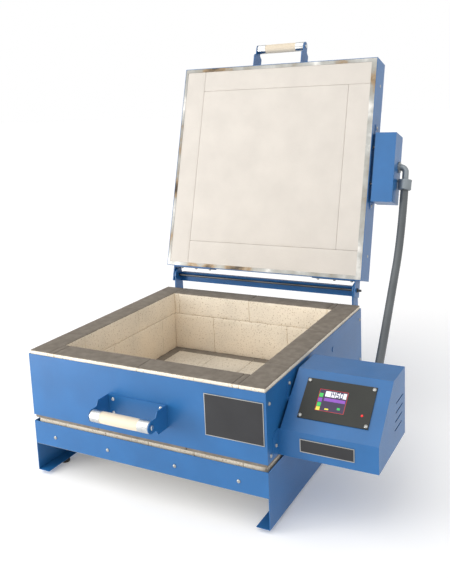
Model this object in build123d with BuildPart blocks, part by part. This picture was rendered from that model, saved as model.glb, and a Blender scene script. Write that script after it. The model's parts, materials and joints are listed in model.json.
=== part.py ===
"""Glass fusing kiln: a low brick chamber on a legged base, a fibre lid that swings up, and a controller.

Frame in millimetres: +X to the operator's right, -Y to the operator, +Z up. The origin is on the
ground under the middle of the chamber. The lid is modelled closed and saved at its open angle.
"""

from build123d import *
import os
from math import hypot, pi, radians, tan

os.makedirs("parts", exist_ok=True)

# Sheet metal and clearances
sheet = 1.2
box_sheet = 1.5
heavy_plate = 4.0
ear_plate = 3.0
seat_gap = 0.3
mortar = 0.6
pin_clearance = 0.05
screw_diameter = 4.0
screw_head_diameter = 8.0
screw_head_height = 2.6
screw_grip = 1.4

# Feet and base
foot_height = 9.0
foot_diameter = 22.0
foot_inset = 21.0
foot_from_front = 70.0
foot_flange_width = 31.0
leg_clearance_height = 68.4
base_panel_height = 56.0
slab_inset = 5.0
slab_thickness = 63.5
slab_corner_chamfer = 8.0
slab_column_width = 114.3
slab_first_joint_x = -98.0
slab_first_joint_y = 40.0
base_screw_x = (-242.0, -92.0, 84.0, 236.0)
base_screw_drop = 32.5

# Chamber
interior_width = 485.7
wall_thickness = 57.15
case_around_bricks = 2.5
lower_course_height = 104.2
upper_course_height = 61.7
rim_proud = 8.4
case_hem = 7.9
brick_length = 228.6
rear_upper_joint_x = 0.5
rear_lower_joint_x = -115.0
side_upper_joint_y = 58.3
side_lower_joint_y = 171.2
body_plate_width = 133.0
body_plate_height = 90.5
body_plate_center_x = 230.5
body_plate_from_case_top = 20.8
body_plate_thickness = 1.0
case_screw_inset = 14.5
case_screw_from_edge = 27.0
side_plug_y = 80.0
side_plug_from_case_top = 39.3
side_plug_diameter = 10.0
thermocouple_diameter = 6.0
thermocouple_reach = 20.0
thermocouple_y = -150.0
thermocouple_above_floor = 90.0
thermocouple_head_length = 12.0

# Handles
handle_center_x = -3.0
handle_width = 153.0
handle_sheet = 2.0
handle_plate_height = 50.0
handle_ear_shoulder = 35.0
handle_ear_neck = 47.0
handle_nose_radius = 13.0
grip_stand_off = 60.0
grip_diameter = 25.4
ferrule_diameter = 26.6
ferrule_length = 24.0
ferrule_wall = 0.9
grip_end_gap = 0.3
grip_bolt_diameter = 6.0
grip_bolt_head_diameter = 11.0
grip_bolt_head_height = 3.0
handle_screw_x = 62.0
handle_screw_v = 15.7
front_handle_above_case_bottom = 62.3

# Lid
lid_gap = 0.8
lid_thickness = 72.0
lid_front_overhang = 2.5
trim_thickness = 1.0
trim_front_width = 10.0
trim_left_width = 8.0
trim_right_width = 14.0
trim_rear_width = 10.0
fibre_layer = 25.4
center_panel_size = 457.0
center_panel_x = -2.8
center_panel_y = -4.8
lid_side_screw_y = (-236.0, 234.0)
lid_side_screw_above_face = 42.0
lid_handle_above_face = 38.0

# Heating element in the lid
element_diameter = 5.0
element_tunnel = 6.0
element_below_board_top = 8.0
element_runs = 8
element_pitch = 54.0
element_run_half_length = 196.0
element_riser_x = 246.0
element_lead_y = (-60.0, 40.0)
element_bend_radius = 24.0
element_corner_radius = 10.0
lead_hole_diameter = 12.0
lead_bushing_diameter = 18.0
lead_bushing_length = 22.0
lead_tip = 8.0

# Lid hinge
lid_open_angle = 106.4
hinge_back = 25.5
hinge_above_case_top = 40.7
hinge_rod_diameter = 6.35
hinge_rod_overhang = 9.0
push_nut_diameter = 12.0
push_nut_thickness = 2.0
upright_x = 280.0
upright_depth = 40.0
upright_drop = 180.0
upright_flange_width = 25.0
bolt_share_of_flange = 0.6
upright_bolt_drops = (30.0, 110.0)
ear_gap = 1.5
ear_height = 41.0
ear_tail = 19.0
ear_flange_end_x = 160.0
ear_bolt_x = (267.0, 218.0, 171.0)
ear_bolt_head_diameter = 8.0
ear_bolt_head_height = 3.4
channel_web = 27.0
channel_flange = 12.0
channel_sheet = 3.0
channel_behind_axis = 15.0
channel_top_above_axis = 5.0

# Chamber hinge
chamber_hinge_back = 15.5
chamber_hinge_x = 203.0
chamber_hinge_radius = 11.0
chamber_hinge_pin_diameter = 8.0
chamber_hinge_flange_width = 28.0
base_hinge_flange_height = 35.0
base_hinge_flange_drop = 5.0
chamber_hinge_flange_height = 40.0
chamber_hinge_flange_rise = 6.0

# Control box on the chamber's right side
control_gap = 5.5
control_width = 201.5
control_front_y = -252.0
control_rear_y = -58.0
control_slope_top_y = -145.0
control_slope_bottom_height = 56.0
control_height = 146.5
control_face_width = 146.0
control_face_height = 90.0
control_face_thickness = 2.0
control_face_from_top = 65.0
control_window_width = 120.0
control_window_height = 72.0
control_screw_x = 68.0
control_screw_s = 39.5
screen_width = 60.0
screen_height = 47.5
screen_thickness = 1.6
screen_x = -11.5
screen_s = 0.5
lamp_x = 55.5
lamp_s = -19.0
lamp_diameter = 5.0
name_plate_width = 112.0
name_plate_height = 27.5
name_plate_x = 406.0
name_plate_above_bottom = 15.5
louvre_length = 54.0
louvre_width = 3.0
louvre_heights = (93.0, 74.0, 56.5, 38.6)
louvre_centers_y = (-101.5, -105.0, -109.0, -112.5)
side_tab_width = 18.0
upper_tab_y = -190.0
upper_tab_height = 128.3
lower_tab_front_y = -279.0
lower_tab_heights = (8.0, 55.0)
lower_tab_screw_y = -264.0
lower_tab_screw_height = 25.0

# Junction box on the lid's right side
junction_gap = 8.0
junction_depth = 56.5
junction_front_y = -98.0
junction_rear_y = 89.0
junction_above_face = 5.5
junction_top_above_face = 73.0
junction_tab_front_y = -126.0
junction_tab_rear_y = 107.0
junction_tab_height = 24.0
junction_tab_above_face = 24.0
junction_screw_y = (-116.6, 98.0)

# Conduit and its fittings
conduit_diameter = 21.3
elbow_diameter = 17.0
elbow_y = -12.0
elbow_above_face = 53.5
elbow_reach = 19.2
elbow_collar_start = 34.0
elbow_bend_radius = 14.0
locknut_diameter = 30.0
locknut_thickness = 4.0
collar_diameter = 35.0
collar_lip_diameter = 36.5
collar_length = 28.0
collar_lip = 5.0
conduit_entry_x = 415.0
conduit_entry_height = 29.0
connector_length = 20.0
connector_diameter = 28.0
connector_nut_diameter = 34.0
connector_nut_thickness = 5.0
conduit_first_run = 133.0
conduit_points = [(382.9, 301.4, 337.8), (392.6, 165.0, 215.0), (405.0, 76.0, 184.0)]
conduit_last_run = 52.0
conduit_bend_share = 0.45
cord_gland_x = 470.0
cord_gland_height = 26.0
cord_gland_diameter = 24.0
cord_gland_length = 24.0
cord_gland_bore = 11.0
cord_gland_recess = 18.0

# Inside the control box
board_width = 118.0
board_height = 66.0
board_thickness = 1.6
board_depth = 18.0
standoff_diameter = 5.0
display_width = 78.0
display_height = 58.0
relay_size = (34.0, 42.0, 50.0)
relay_centers_y = (-170.0, -105.0)
relay_height = 20.0
transformer_size = (58.0, 44.0, 46.0)
transformer_center = (465.0, -150.0)
terminal_block_size = (70.0, 22.0, 24.0)
terminal_block_center = (440.0, -100.0)

# Worked out from the above
screw_hole_diameter = screw_diameter + 2 * pin_clearance
brick_half = interior_width / 2 + wall_thickness
case_half_x = brick_half + case_around_bricks
case_half_y = case_half_x
base_panel_bottom = foot_height + leg_clearance_height
base_panel_top = base_panel_bottom + base_panel_height
pan_bottom = base_panel_bottom - sheet
slab_top = base_panel_bottom + slab_thickness
brick_bottom = slab_top + seat_gap
course_joint = brick_bottom + lower_course_height
rim_top = course_joint + upper_course_height
case_top = rim_top - rim_proud
case_bottom = brick_bottom + case_hem
interior_half = interior_width / 2
thermocouple_z = brick_bottom + thermocouple_above_floor
hinge_y = case_half_y + hinge_back
hinge_z = case_top + hinge_above_case_top
lid_face = rim_top + lid_gap
lid_top = lid_face + lid_thickness
lid_front = -case_half_y - lid_front_overhang
lid_rear = case_half_y - 1.0
chamber_hinge_y = case_half_y + chamber_hinge_back
chamber_hinge_z = slab_top + seat_gap / 2
lid_axis = Axis((0, hinge_y, hinge_z), (1, 0, 0))
upright_bottom = hinge_z - upright_drop
upright_flange_top = case_top - heavy_plate
upright_bolt_x = upright_x - bolt_share_of_flange * upright_flange_width
upright_bolt_z = [upright_flange_top - drop for drop in upright_bolt_drops]
base_flange_top = base_panel_top - base_hinge_flange_drop
base_flange_z = (base_flange_top - base_hinge_flange_height, base_flange_top)
chamber_flange_bottom = case_bottom + chamber_hinge_flange_rise
chamber_flange_z = (chamber_flange_bottom, chamber_flange_bottom + chamber_hinge_flange_height)
base_bolt_x = chamber_hinge_x - bolt_share_of_flange * chamber_hinge_flange_width
chamber_bolt_x = chamber_hinge_x + bolt_share_of_flange * chamber_hinge_flange_width
tab_face = case_half_x + box_sheet
tab_half = side_tab_width / 2
upper_tab_z = case_bottom + upper_tab_height
rear_tab_y = control_rear_y - side_tab_width
rear_tab_z = case_bottom + control_height / 2
bracket_screws = [
    (tab_face, upper_tab_y, upper_tab_z),
    (tab_face, lower_tab_screw_y, case_bottom + lower_tab_screw_height),
    (tab_face, rear_tab_y, rear_tab_z + side_tab_width),
]
front_handle_plane = Plane(
    origin=(handle_center_x, -case_half_y, case_bottom + front_handle_above_case_bottom),
    x_dir=(1, 0, 0),
    z_dir=(0, -1, 0),
)
lid_handle_plane = Plane(
    origin=(handle_center_x, lid_front, lid_face + lid_handle_above_face),
    x_dir=(1, 0, 0),
    z_dir=(0, -1, 0),
)


def save(piece, label):
    """Write one finished piece as its own STEP file."""
    piece.label = label
    export_step(piece, f"parts/{label}.step")


def save_on_lid(piece, label):
    """Swing a piece of the closed lid up to its open angle and write it."""
    save(piece.rotate(lid_axis, -lid_open_angle), label)


def block(x, y, z, mode=Mode.ADD):
    """Add a box that spans the given (low, high) range along each axis."""
    with Locations(((x[0] + x[1]) / 2, (y[0] + y[1]) / 2, (z[0] + z[1]) / 2)):
        Box(x[1] - x[0], y[1] - y[0], z[1] - z[0], mode=mode)


def rod(start, end, diameter, mode=Mode.ADD):
    """Add a round bar between two points."""
    axis = Vector(*end) - Vector(*start)
    with Locations(Plane(origin=start, z_dir=axis)):
        Cylinder(
            diameter / 2,
            axis.length,
            align=(Align.CENTER, Align.CENTER, Align.MIN),
            mode=mode,
        )


def pan_head_screw(point, outward, grip=screw_grip, head=screw_head_diameter, height=screw_head_height):
    """Add a pan head screw whose head stands on the surface at the point, with its grip below it."""
    direction = Vector(*outward)
    base = Vector(*point)
    with Locations(Plane(origin=base, z_dir=direction)):
        Cylinder(head / 2, height, align=(Align.CENTER, Align.CENTER, Align.MIN))
    rod(tuple(base - direction * grip), tuple(base + direction * height / 2), screw_diameter)


def screw_hole(point, outward):
    """Cut the hole that a screw at the point passes through."""
    direction = Vector(*outward)
    base = Vector(*point)
    depth = screw_grip + heavy_plate
    start = tuple(base - direction * depth)
    rod(start, tuple(base + direction), screw_hole_diameter, Mode.SUBTRACT)


def bracket_bolt_z(flange_z):
    """Heights of the two bolts in a chamber hinge bracket's flange."""
    quarter = (flange_z[1] - flange_z[0]) / 4
    return [flange_z[0] + quarter, flange_z[1] - quarter]


def handle_holes(wall_plane):
    """Cut the back plate's four screw holes in the sheet behind it."""
    for x in (-handle_screw_x, handle_screw_x):
        for v in (-handle_screw_v, handle_screw_v):
            point = wall_plane.origin + wall_plane.x_dir * x + wall_plane.y_dir * v
            screw_hole(tuple(point), tuple(wall_plane.z_dir))


# Base: front and rear panels between two leg sides, a pan, the floor slab and four feet
side_inner = case_half_x - sheet
front_screw_z = base_panel_top - base_screw_drop


def base_panel(sign):
    """Front (sign -1) or rear (sign 1) panel of the base."""
    outer = sign * case_half_y
    inner = sign * (case_half_y - sheet)
    with BuildPart() as panel:
        block((-side_inner, side_inner), sorted((outer, inner)), (base_panel_bottom, base_panel_top))
        for x in base_screw_x:
            screw_hole((x, outer, front_screw_z), (0, sign, 0))
        if sign > 0:
            for side in (-1, 1):
                for z in bracket_bolt_z(base_flange_z):
                    screw_hole((side * base_bolt_x, outer, z), (0, 1, 0))
    return panel.part


save(base_panel(-1), "base_front_panel")
save(base_panel(1), "base_rear_panel")


def base_leg(sign):
    """Side panel that runs down to an inward foot flange, on the left (-1) or the right (1)."""
    outer = sign * case_half_x
    with BuildPart() as leg:
        block(sorted((outer, sign * side_inner)), (-case_half_y, case_half_y), (foot_height, base_panel_top))
        block(
            sorted((sign * side_inner, outer - sign * foot_flange_width)),
            (-case_half_y, case_half_y),
            (foot_height, foot_height + sheet),
        )
    return leg.part


save(base_leg(-1), "base_left_leg")
save(base_leg(1), "base_right_leg")

with BuildPart() as base_pan:
    block(
        (-side_inner, side_inner),
        (-case_half_y + sheet, case_half_y - sheet),
        (pan_bottom, base_panel_bottom),
    )
save(base_pan.part, "base_pan")

slab_half = case_half_x - slab_inset
slab_joints_x = [
    slab_first_joint_x + i * slab_column_width
    for i in range(-3, 5)
    if abs(slab_first_joint_x + i * slab_column_width) < slab_half - mortar
]
slab_edges_x = [-slab_half] + slab_joints_x + [slab_half]
with BuildPart() as floor_slab:
    for i in range(len(slab_edges_x) - 1):
        stagger = brick_length / 2 if i % 2 else 0.0
        joints_y = [
            slab_first_joint_y + stagger + j * brick_length
            for j in range(-3, 3)
            if abs(slab_first_joint_y + stagger + j * brick_length) < slab_half - mortar
        ]
        edges_y = [-slab_half] + joints_y + [slab_half]
        for j in range(len(edges_y) - 1):
            block(
                (slab_edges_x[i] + mortar / 2, slab_edges_x[i + 1] - mortar / 2),
                (edges_y[j] + mortar / 2, edges_y[j + 1] - mortar / 2),
                (base_panel_bottom, slab_top),
            )
    corner_edges = floor_slab.edges().filter_by(Axis.Z).filter_by(
        lambda e: abs(e.center().X) > slab_half - mortar and abs(e.center().Y) > slab_half - mortar
    )
    chamfer(corner_edges, slab_corner_chamfer)
save(floor_slab.part, "floor_slab")

with BuildPart() as rubber_feet:
    for sx in (-1, 1):
        for sy in (-1, 1):
            foot_x = sx * (case_half_x - foot_inset)
            foot_y = sy * (case_half_y - foot_from_front)
            rod((foot_x, foot_y, 0), (foot_x, foot_y, foot_height), foot_diameter)
    fillet(rubber_feet.faces().filter_by(Axis.Z).group_by(Axis.Z)[0].edges(), foot_diameter / 12)
save(rubber_feet.part, "rubber_feet")

with BuildPart() as base_screws:
    for sign in (-1, 1):
        for x in base_screw_x:
            pan_head_screw((x, sign * case_half_y, front_screw_z), (0, sign, 0))
        for z in bracket_bolt_z(base_flange_z):
            seat = (sign * base_bolt_x, case_half_y + ear_plate, z)
            pan_head_screw(seat, (0, 1, 0), ear_plate + screw_grip)
save(base_screws.part, "base_screws")


# Chamber walls: two brick courses with interlocked corners inside a sheet case
def course(length_half, across, z, joints, along_x):
    """Bricks of one straight course, cut at the joints that fall inside its length."""
    inside = sorted(j for j in joints if abs(j) < length_half - mortar)
    edges = [-length_half] + inside + [length_half]
    for i in range(len(edges) - 1):
        along = (edges[i] + mortar / 2, edges[i + 1] - mortar / 2)
        if along_x:
            block(along, across, z)
        else:
            block(across, along, z)


def repeats(first):
    """Joint positions one brick length apart on both sides of the first."""
    return [first + i * brick_length for i in range(-2, 3)]


lower_z = (brick_bottom, course_joint - mortar / 2)
upper_z = (course_joint + mortar / 2, rim_top)


def wall(sign, along_x, lower_joint, upper_joint):
    """One brick wall. Long walls run to the corners in the lower course, side walls in the upper."""
    across = sorted((sign * interior_half, sign * brick_half))
    lower_half = brick_half if along_x else interior_half
    upper_half = interior_half if along_x else brick_half
    with BuildPart() as bricks:
        course(lower_half, across, lower_z, repeats(lower_joint), along_x)
        course(upper_half, across, upper_z, repeats(upper_joint), along_x)
        if sign > 0 and not along_x:
            rod(
                (interior_half - 1, thermocouple_y, thermocouple_z),
                (brick_half + 1, thermocouple_y, thermocouple_z),
                thermocouple_diameter + 2 * seat_gap,
                Mode.SUBTRACT,
            )
    return bricks.part


save(wall(-1, True, rear_lower_joint_x, rear_upper_joint_x), "front_wall_bricks")
save(wall(1, True, rear_lower_joint_x, rear_upper_joint_x), "rear_wall_bricks")
save(wall(-1, False, side_lower_joint_y, side_upper_joint_y), "left_wall_bricks")
save(wall(1, False, side_lower_joint_y, side_upper_joint_y), "right_wall_bricks")

case_z = (case_bottom, case_top)
side_screw_y = (-case_half_y + case_screw_inset, case_half_y - case_screw_inset)
side_screw_z = (case_bottom + case_screw_from_edge / 2, case_top - case_screw_from_edge)


def case_panel(sign):
    """Front (-1) or rear (1) sheet of the chamber's case."""
    with BuildPart() as panel:
        block(
            (-side_inner, side_inner),
            sorted((sign * case_half_y, sign * (case_half_y - sheet))),
            case_z,
        )
        if sign < 0:
            handle_holes(front_handle_plane)
        else:
            for side in (-1, 1):
                for z in upright_bolt_z:
                    screw_hole((side * upright_bolt_x, case_half_y, z), (0, 1, 0))
                for z in bracket_bolt_z(chamber_flange_z):
                    screw_hole((side * chamber_bolt_x, case_half_y, z), (0, 1, 0))
    return panel.part


def case_side(sign):
    """Left (-1) or right (1) sheet of the chamber's case, with its screw and sensor holes."""
    with BuildPart() as panel:
        block(sorted((sign * case_half_x, sign * side_inner)), (-case_half_y, case_half_y), case_z)
        for y in side_screw_y:
            for z in side_screw_z:
                screw_hole((sign * case_half_x, y, z), (sign, 0, 0))
        if sign > 0:
            rod(
                (side_inner - 1, thermocouple_y, thermocouple_z),
                (case_half_x + 1, thermocouple_y, thermocouple_z),
                thermocouple_diameter + 2 * seat_gap,
                Mode.SUBTRACT,
            )
            plug_z = case_top - side_plug_from_case_top
            rod(
                (side_inner - 1, side_plug_y, plug_z),
                (case_half_x + 1, side_plug_y, plug_z),
                side_plug_diameter,
                Mode.SUBTRACT,
            )
            for seat in bracket_screws:
                screw_hole(seat, (1, 0, 0))
    return panel.part


save(case_panel(-1), "case_front_panel")
save(case_panel(1), "case_rear_panel")
save(case_side(-1), "case_left_panel")
save(case_side(1), "case_right_panel")

with BuildPart() as case_plug:
    plug_z = case_top - side_plug_from_case_top
    plug_stem = side_plug_diameter - 2 * pin_clearance
    rod((side_inner, side_plug_y, plug_z), (case_half_x + sheet, side_plug_y, plug_z), plug_stem)
    rod(
        (case_half_x, side_plug_y, plug_z),
        (case_half_x + sheet, side_plug_y, plug_z),
        side_plug_diameter + 2 * sheet,
    )
save(case_plug.part, "case_plug")

control_left = case_half_x + control_gap
control_right = control_left + control_width
control_bottom = case_bottom
control_top = control_bottom + control_height

with BuildPart() as thermocouple:
    probe_start = (interior_half - thermocouple_reach, thermocouple_y, thermocouple_z)
    probe_end_x = control_left + 4 * box_sheet
    probe_end = (probe_end_x, thermocouple_y, thermocouple_z)
    rod(probe_start, probe_end, thermocouple_diameter)
    head_end = (probe_end_x + thermocouple_head_length, thermocouple_y, thermocouple_z)
    rod(probe_end, head_end, 3 * thermocouple_diameter)
save(thermocouple.part, "thermocouple")


# Handles: a folded U bracket, a wooden grip in two steel ferrules, a through bolt and four screws
ear_outer = handle_width / 2
ear_inner = ear_outer - handle_sheet
grip_end = ear_inner - grip_end_gap
bolt_bore = grip_bolt_diameter + 2 * pin_clearance


def handle_bracket(wall_plane):
    """Back plate with two ears whose outline narrows in an S and ends in a round nose."""
    half = handle_plate_height / 2
    neck = handle_nose_radius
    middle = (handle_ear_shoulder + handle_ear_neck) / 2
    with BuildPart() as bracket:
        with BuildSketch(wall_plane):
            Rectangle(handle_width, handle_plate_height)
        extrude(amount=handle_sheet)
        for side in (-1, 1):
            start = wall_plane.origin + wall_plane.x_dir * (ear_inner if side > 0 else -ear_outer)
            ear_plane = Plane(origin=start, x_dir=wall_plane.z_dir, z_dir=wall_plane.x_dir)
            with BuildSketch(ear_plane):
                with BuildLine():
                    Line((0, -half), (0, half))
                    Line((0, half), (handle_ear_shoulder, half))
                    Bezier(
                        (handle_ear_shoulder, half),
                        (middle, half),
                        (middle, neck),
                        (handle_ear_neck, neck),
                    )
                    Line((handle_ear_neck, neck), (grip_stand_off, neck))
                    ThreePointArc(
                        (grip_stand_off, neck),
                        (grip_stand_off + handle_nose_radius, 0),
                        (grip_stand_off, -neck),
                    )
                    Line((grip_stand_off, -neck), (handle_ear_neck, -neck))
                    Bezier(
                        (handle_ear_neck, -neck),
                        (middle, -neck),
                        (middle, -half),
                        (handle_ear_shoulder, -half),
                    )
                    Line((handle_ear_shoulder, -half), (0, -half))
                make_face()
                with Locations((grip_stand_off, 0)):
                    Circle(bolt_bore / 2, mode=Mode.SUBTRACT)
            extrude(amount=handle_sheet)
        with BuildSketch(wall_plane):
            with GridLocations(2 * handle_screw_x, 2 * handle_screw_v, 2, 2):
                Circle(screw_hole_diameter / 2)
        extrude(amount=handle_sheet, mode=Mode.SUBTRACT)
    return bracket.part


def handle_grip(wall_plane):
    """Turned wooden grip with a through bore and stepped ends inside the ferrules."""
    center = wall_plane.origin + wall_plane.z_dir * grip_stand_off
    across = wall_plane.x_dir
    core = ferrule_diameter - 2 * ferrule_wall - 2 * pin_clearance
    end = grip_end - ferrule_wall - pin_clearance
    with BuildPart() as grip:
        rod(tuple(center - across * end), tuple(center + across * end), core)
        shoulder = grip_end - ferrule_length - pin_clearance
        rod(tuple(center - across * shoulder), tuple(center + across * shoulder), grip_diameter)
        rod(tuple(center - across * end), tuple(center + across * end), bolt_bore, Mode.SUBTRACT)
    return grip.part


def handle_ferrules(wall_plane):
    """Two steel cups over the grip's ends, with rounded outer rims, each bored for the bolt."""
    center = wall_plane.origin + wall_plane.z_dir * grip_stand_off
    across = wall_plane.x_dir
    with BuildPart() as ferrules:
        for side in (-1, 1):
            outer = center + across * side * grip_end
            inner = center + across * side * (grip_end - ferrule_length)
            rod(tuple(inner), tuple(outer), ferrule_diameter)
        end_faces = ferrules.faces().filter_by(GeomType.PLANE).filter_by(Plane.YZ)
        rims = end_faces.sort_by(Axis.X)
        fillet((rims[0].edges() + rims[-1].edges()), 2 * ferrule_wall)
        for side in (-1, 1):
            cup_floor = center + across * side * (grip_end - ferrule_wall)
            inner = center + across * side * (grip_end - ferrule_length)
            rod(tuple(inner), tuple(cup_floor), ferrule_diameter - 2 * ferrule_wall, Mode.SUBTRACT)
            outer = center + across * side * grip_end
            rod(tuple(inner), tuple(outer), bolt_bore, Mode.SUBTRACT)
    return ferrules.part


def handle_hardware(wall_plane):
    """The grip's ferrules and through bolt, and the four screws of the back plate."""
    center = wall_plane.origin + wall_plane.z_dir * grip_stand_off
    across = wall_plane.x_dir
    up = wall_plane.y_dir
    outward = wall_plane.z_dir
    with BuildPart() as hardware:
        add(handle_ferrules(wall_plane))
        reach = across * ear_outer
        rod(tuple(center - reach), tuple(center + reach), grip_bolt_diameter)
        for side in (-1, 1):
            seat = center + reach * side
            tip = seat + across * side * grip_bolt_head_height
            rod(tuple(seat), tuple(tip), grip_bolt_head_diameter)
        for x in (-handle_screw_x, handle_screw_x):
            for v in (-handle_screw_v, handle_screw_v):
                point = wall_plane.origin + across * x + up * v + outward * handle_sheet
                pan_head_screw(tuple(point), tuple(outward), handle_sheet + screw_grip)
    return hardware.part


save(handle_bracket(front_handle_plane), "front_handle_bracket")
save(handle_grip(front_handle_plane), "front_handle_grip")
save(handle_hardware(front_handle_plane), "front_handle_hardware")

save_on_lid(handle_bracket(lid_handle_plane), "lid_handle_bracket")
save_on_lid(handle_grip(lid_handle_plane), "lid_handle_grip")
save_on_lid(handle_hardware(lid_handle_plane), "lid_handle_hardware")


# Lid hinge: uprights bolted to the chamber's rear, a cross channel, a rod, and ears on the lid
upright_inner = upright_x - heavy_plate
upright_front = hinge_y - upright_depth / 2
hinge_hole = hinge_rod_diameter + 2 * pin_clearance
ear_low = upright_x + ear_gap
ear_high = ear_low + ear_plate


def upright(sign):
    """Plate with a round top about the hinge rod and a flange bolted to the case."""
    with BuildPart() as post:
        with BuildSketch(Plane.YZ.offset(min(sign * upright_inner, sign * upright_x))):
            with Locations((hinge_y, (hinge_z + upright_bottom) / 2)):
                Rectangle(upright_depth, hinge_z - upright_bottom)
            with Locations((hinge_y, hinge_z)):
                Circle(upright_depth / 2)
                Circle(hinge_hole / 2, mode=Mode.SUBTRACT)
        extrude(amount=heavy_plate)
        block(
            sorted((sign * (upright_x - upright_flange_width), sign * upright_x)),
            (case_half_y, case_half_y + heavy_plate),
            (upright_bottom, upright_flange_top),
        )
        block(
            sorted((sign * upright_inner, sign * upright_x)),
            (case_half_y + heavy_plate, upright_front),
            (upright_bottom, upright_flange_top),
        )
        for z in upright_bolt_z:
            seat = (sign * upright_bolt_x, case_half_y + heavy_plate + 1, z)
            rod(seat, (seat[0], case_half_y - 1, z), screw_hole_diameter, Mode.SUBTRACT)
    return post.part


with BuildPart() as uprights:
    add(upright(-1))
    add(upright(1))
save(uprights.part, "uprights")

with BuildPart() as case_screws:
    for sign in (-1, 1):
        for y in side_screw_y:
            for z in side_screw_z:
                pan_head_screw((sign * case_half_x, y, z), (sign, 0, 0))
        for z in upright_bolt_z:
            seat = (sign * upright_bolt_x, case_half_y + heavy_plate, z)
            pan_head_screw(seat, (0, 1, 0), heavy_plate + screw_grip)
        for z in bracket_bolt_z(chamber_flange_z):
            seat = (sign * chamber_bolt_x, case_half_y + ear_plate, z)
            pan_head_screw(seat, (0, 1, 0), ear_plate + screw_grip)
save(case_screws.part, "case_screws")

channel_front = hinge_y + channel_behind_axis
channel_top = hinge_z + channel_top_above_axis
channel_bottom = channel_top - channel_web
with BuildPart() as cross_channel:
    block(
        (-upright_inner, upright_inner),
        (channel_front, channel_front + channel_flange),
        (channel_bottom, channel_top),
    )
    block(
        (-upright_inner, upright_inner),
        (channel_front + channel_sheet, channel_front + channel_flange),
        (channel_bottom + channel_sheet, channel_top - channel_sheet),
        Mode.SUBTRACT,
    )
save(cross_channel.part, "cross_channel")

with BuildPart() as hinge_rod:
    nut_seat = ear_high + seat_gap
    rod_end = nut_seat + push_nut_thickness + hinge_rod_overhang
    rod((-rod_end, hinge_y, hinge_z), (rod_end, hinge_y, hinge_z), hinge_rod_diameter)
    for sign in (-1, 1):
        nut_end = nut_seat + push_nut_thickness
        rod((sign * nut_seat, hinge_y, hinge_z), (sign * nut_end, hinge_y, hinge_z), push_nut_diameter)
save(hinge_rod.part, "hinge_rod")


def lid_ear(sign):
    """Ear plate outside the upright, folded into a long flange on the lid's rear wall."""
    ear_z = (hinge_z - ear_height / 2, hinge_z + ear_height / 2)
    flange_x = sorted((sign * ear_flange_end_x, sign * ear_high))
    with BuildPart() as ear:
        block(sorted((sign * ear_low, sign * ear_high)), (lid_rear, hinge_y + ear_tail), ear_z)
        block(flange_x, (lid_rear, lid_rear + ear_plate), ear_z)
        rod(
            (sign * (ear_low - 1), hinge_y, hinge_z),
            (sign * (ear_high + 1), hinge_y, hinge_z),
            hinge_hole,
            Mode.SUBTRACT,
        )
        for x in ear_bolt_x:
            seat = (sign * x, lid_rear + ear_plate + 1, hinge_z)
            rod(seat, (sign * x, lid_rear - 1, hinge_z), screw_hole_diameter, Mode.SUBTRACT)
    return ear.part


with BuildPart() as lid_ears:
    add(lid_ear(-1))
    add(lid_ear(1))
save_on_lid(lid_ears.part, "lid_ears")


# Chamber hinge: a bracket on the base and one on the chamber share a pin on each side
pin_hole = chamber_hinge_pin_diameter + 2 * pin_clearance


def hinge_bracket(sign, near, flange_z, flange_outward):
    """Pivot plate with a round end, folded into a flange on the rear sheet."""
    far = near + ear_plate
    flange = (near, near + chamber_hinge_flange_width)
    if not flange_outward:
        flange = (far - chamber_hinge_flange_width, far)
    middle_z = (flange_z[0] + flange_z[1]) / 2
    with BuildPart() as bracket:
        with BuildSketch(Plane.YZ.offset(min(sign * near, sign * far))):
            with Locations((case_half_y + ear_plate / 2, middle_z)):
                Rectangle(ear_plate, flange_z[1] - flange_z[0])
            with Locations((chamber_hinge_y, chamber_hinge_z)):
                Circle(chamber_hinge_radius)
            make_hull()
            with Locations((chamber_hinge_y, chamber_hinge_z)):
                Circle(pin_hole / 2, mode=Mode.SUBTRACT)
        extrude(amount=ear_plate)
        block(sorted((sign * flange[0], sign * flange[1])), (case_half_y, case_half_y + ear_plate), flange_z)
        bolt_x = chamber_bolt_x if flange_outward else base_bolt_x
        for z in bracket_bolt_z(flange_z):
            screw_hole((sign * bolt_x, case_half_y + ear_plate, z), (0, 1, 0))
    return bracket.part


base_ear_x = chamber_hinge_x - ear_plate
chamber_ear_x = chamber_hinge_x + seat_gap

with BuildPart() as base_hinge_brackets:
    add(hinge_bracket(-1, base_ear_x, base_flange_z, False))
    add(hinge_bracket(1, base_ear_x, base_flange_z, False))
save(base_hinge_brackets.part, "base_hinge_brackets")

with BuildPart() as chamber_hinge_brackets:
    add(hinge_bracket(-1, chamber_ear_x, chamber_flange_z, True))
    add(hinge_bracket(1, chamber_ear_x, chamber_flange_z, True))
save(chamber_hinge_brackets.part, "chamber_hinge_brackets")

with BuildPart() as chamber_hinge_pins:
    for sign in (-1, 1):
        head_low = base_ear_x - seat_gap
        head_high = chamber_ear_x + ear_plate + seat_gap
        for x, step in ((head_low, -push_nut_thickness), (head_high, push_nut_thickness)):
            rod(
                (sign * x, chamber_hinge_y, chamber_hinge_z),
                (sign * (x + step), chamber_hinge_y, chamber_hinge_z),
                push_nut_diameter,
            )
        rod(
            (sign * (head_low - push_nut_thickness), chamber_hinge_y, chamber_hinge_z),
            (sign * (head_high + push_nut_thickness), chamber_hinge_y, chamber_hinge_z),
            chamber_hinge_pin_diameter,
        )
save(chamber_hinge_pins.part, "chamber_hinge_pins")


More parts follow.
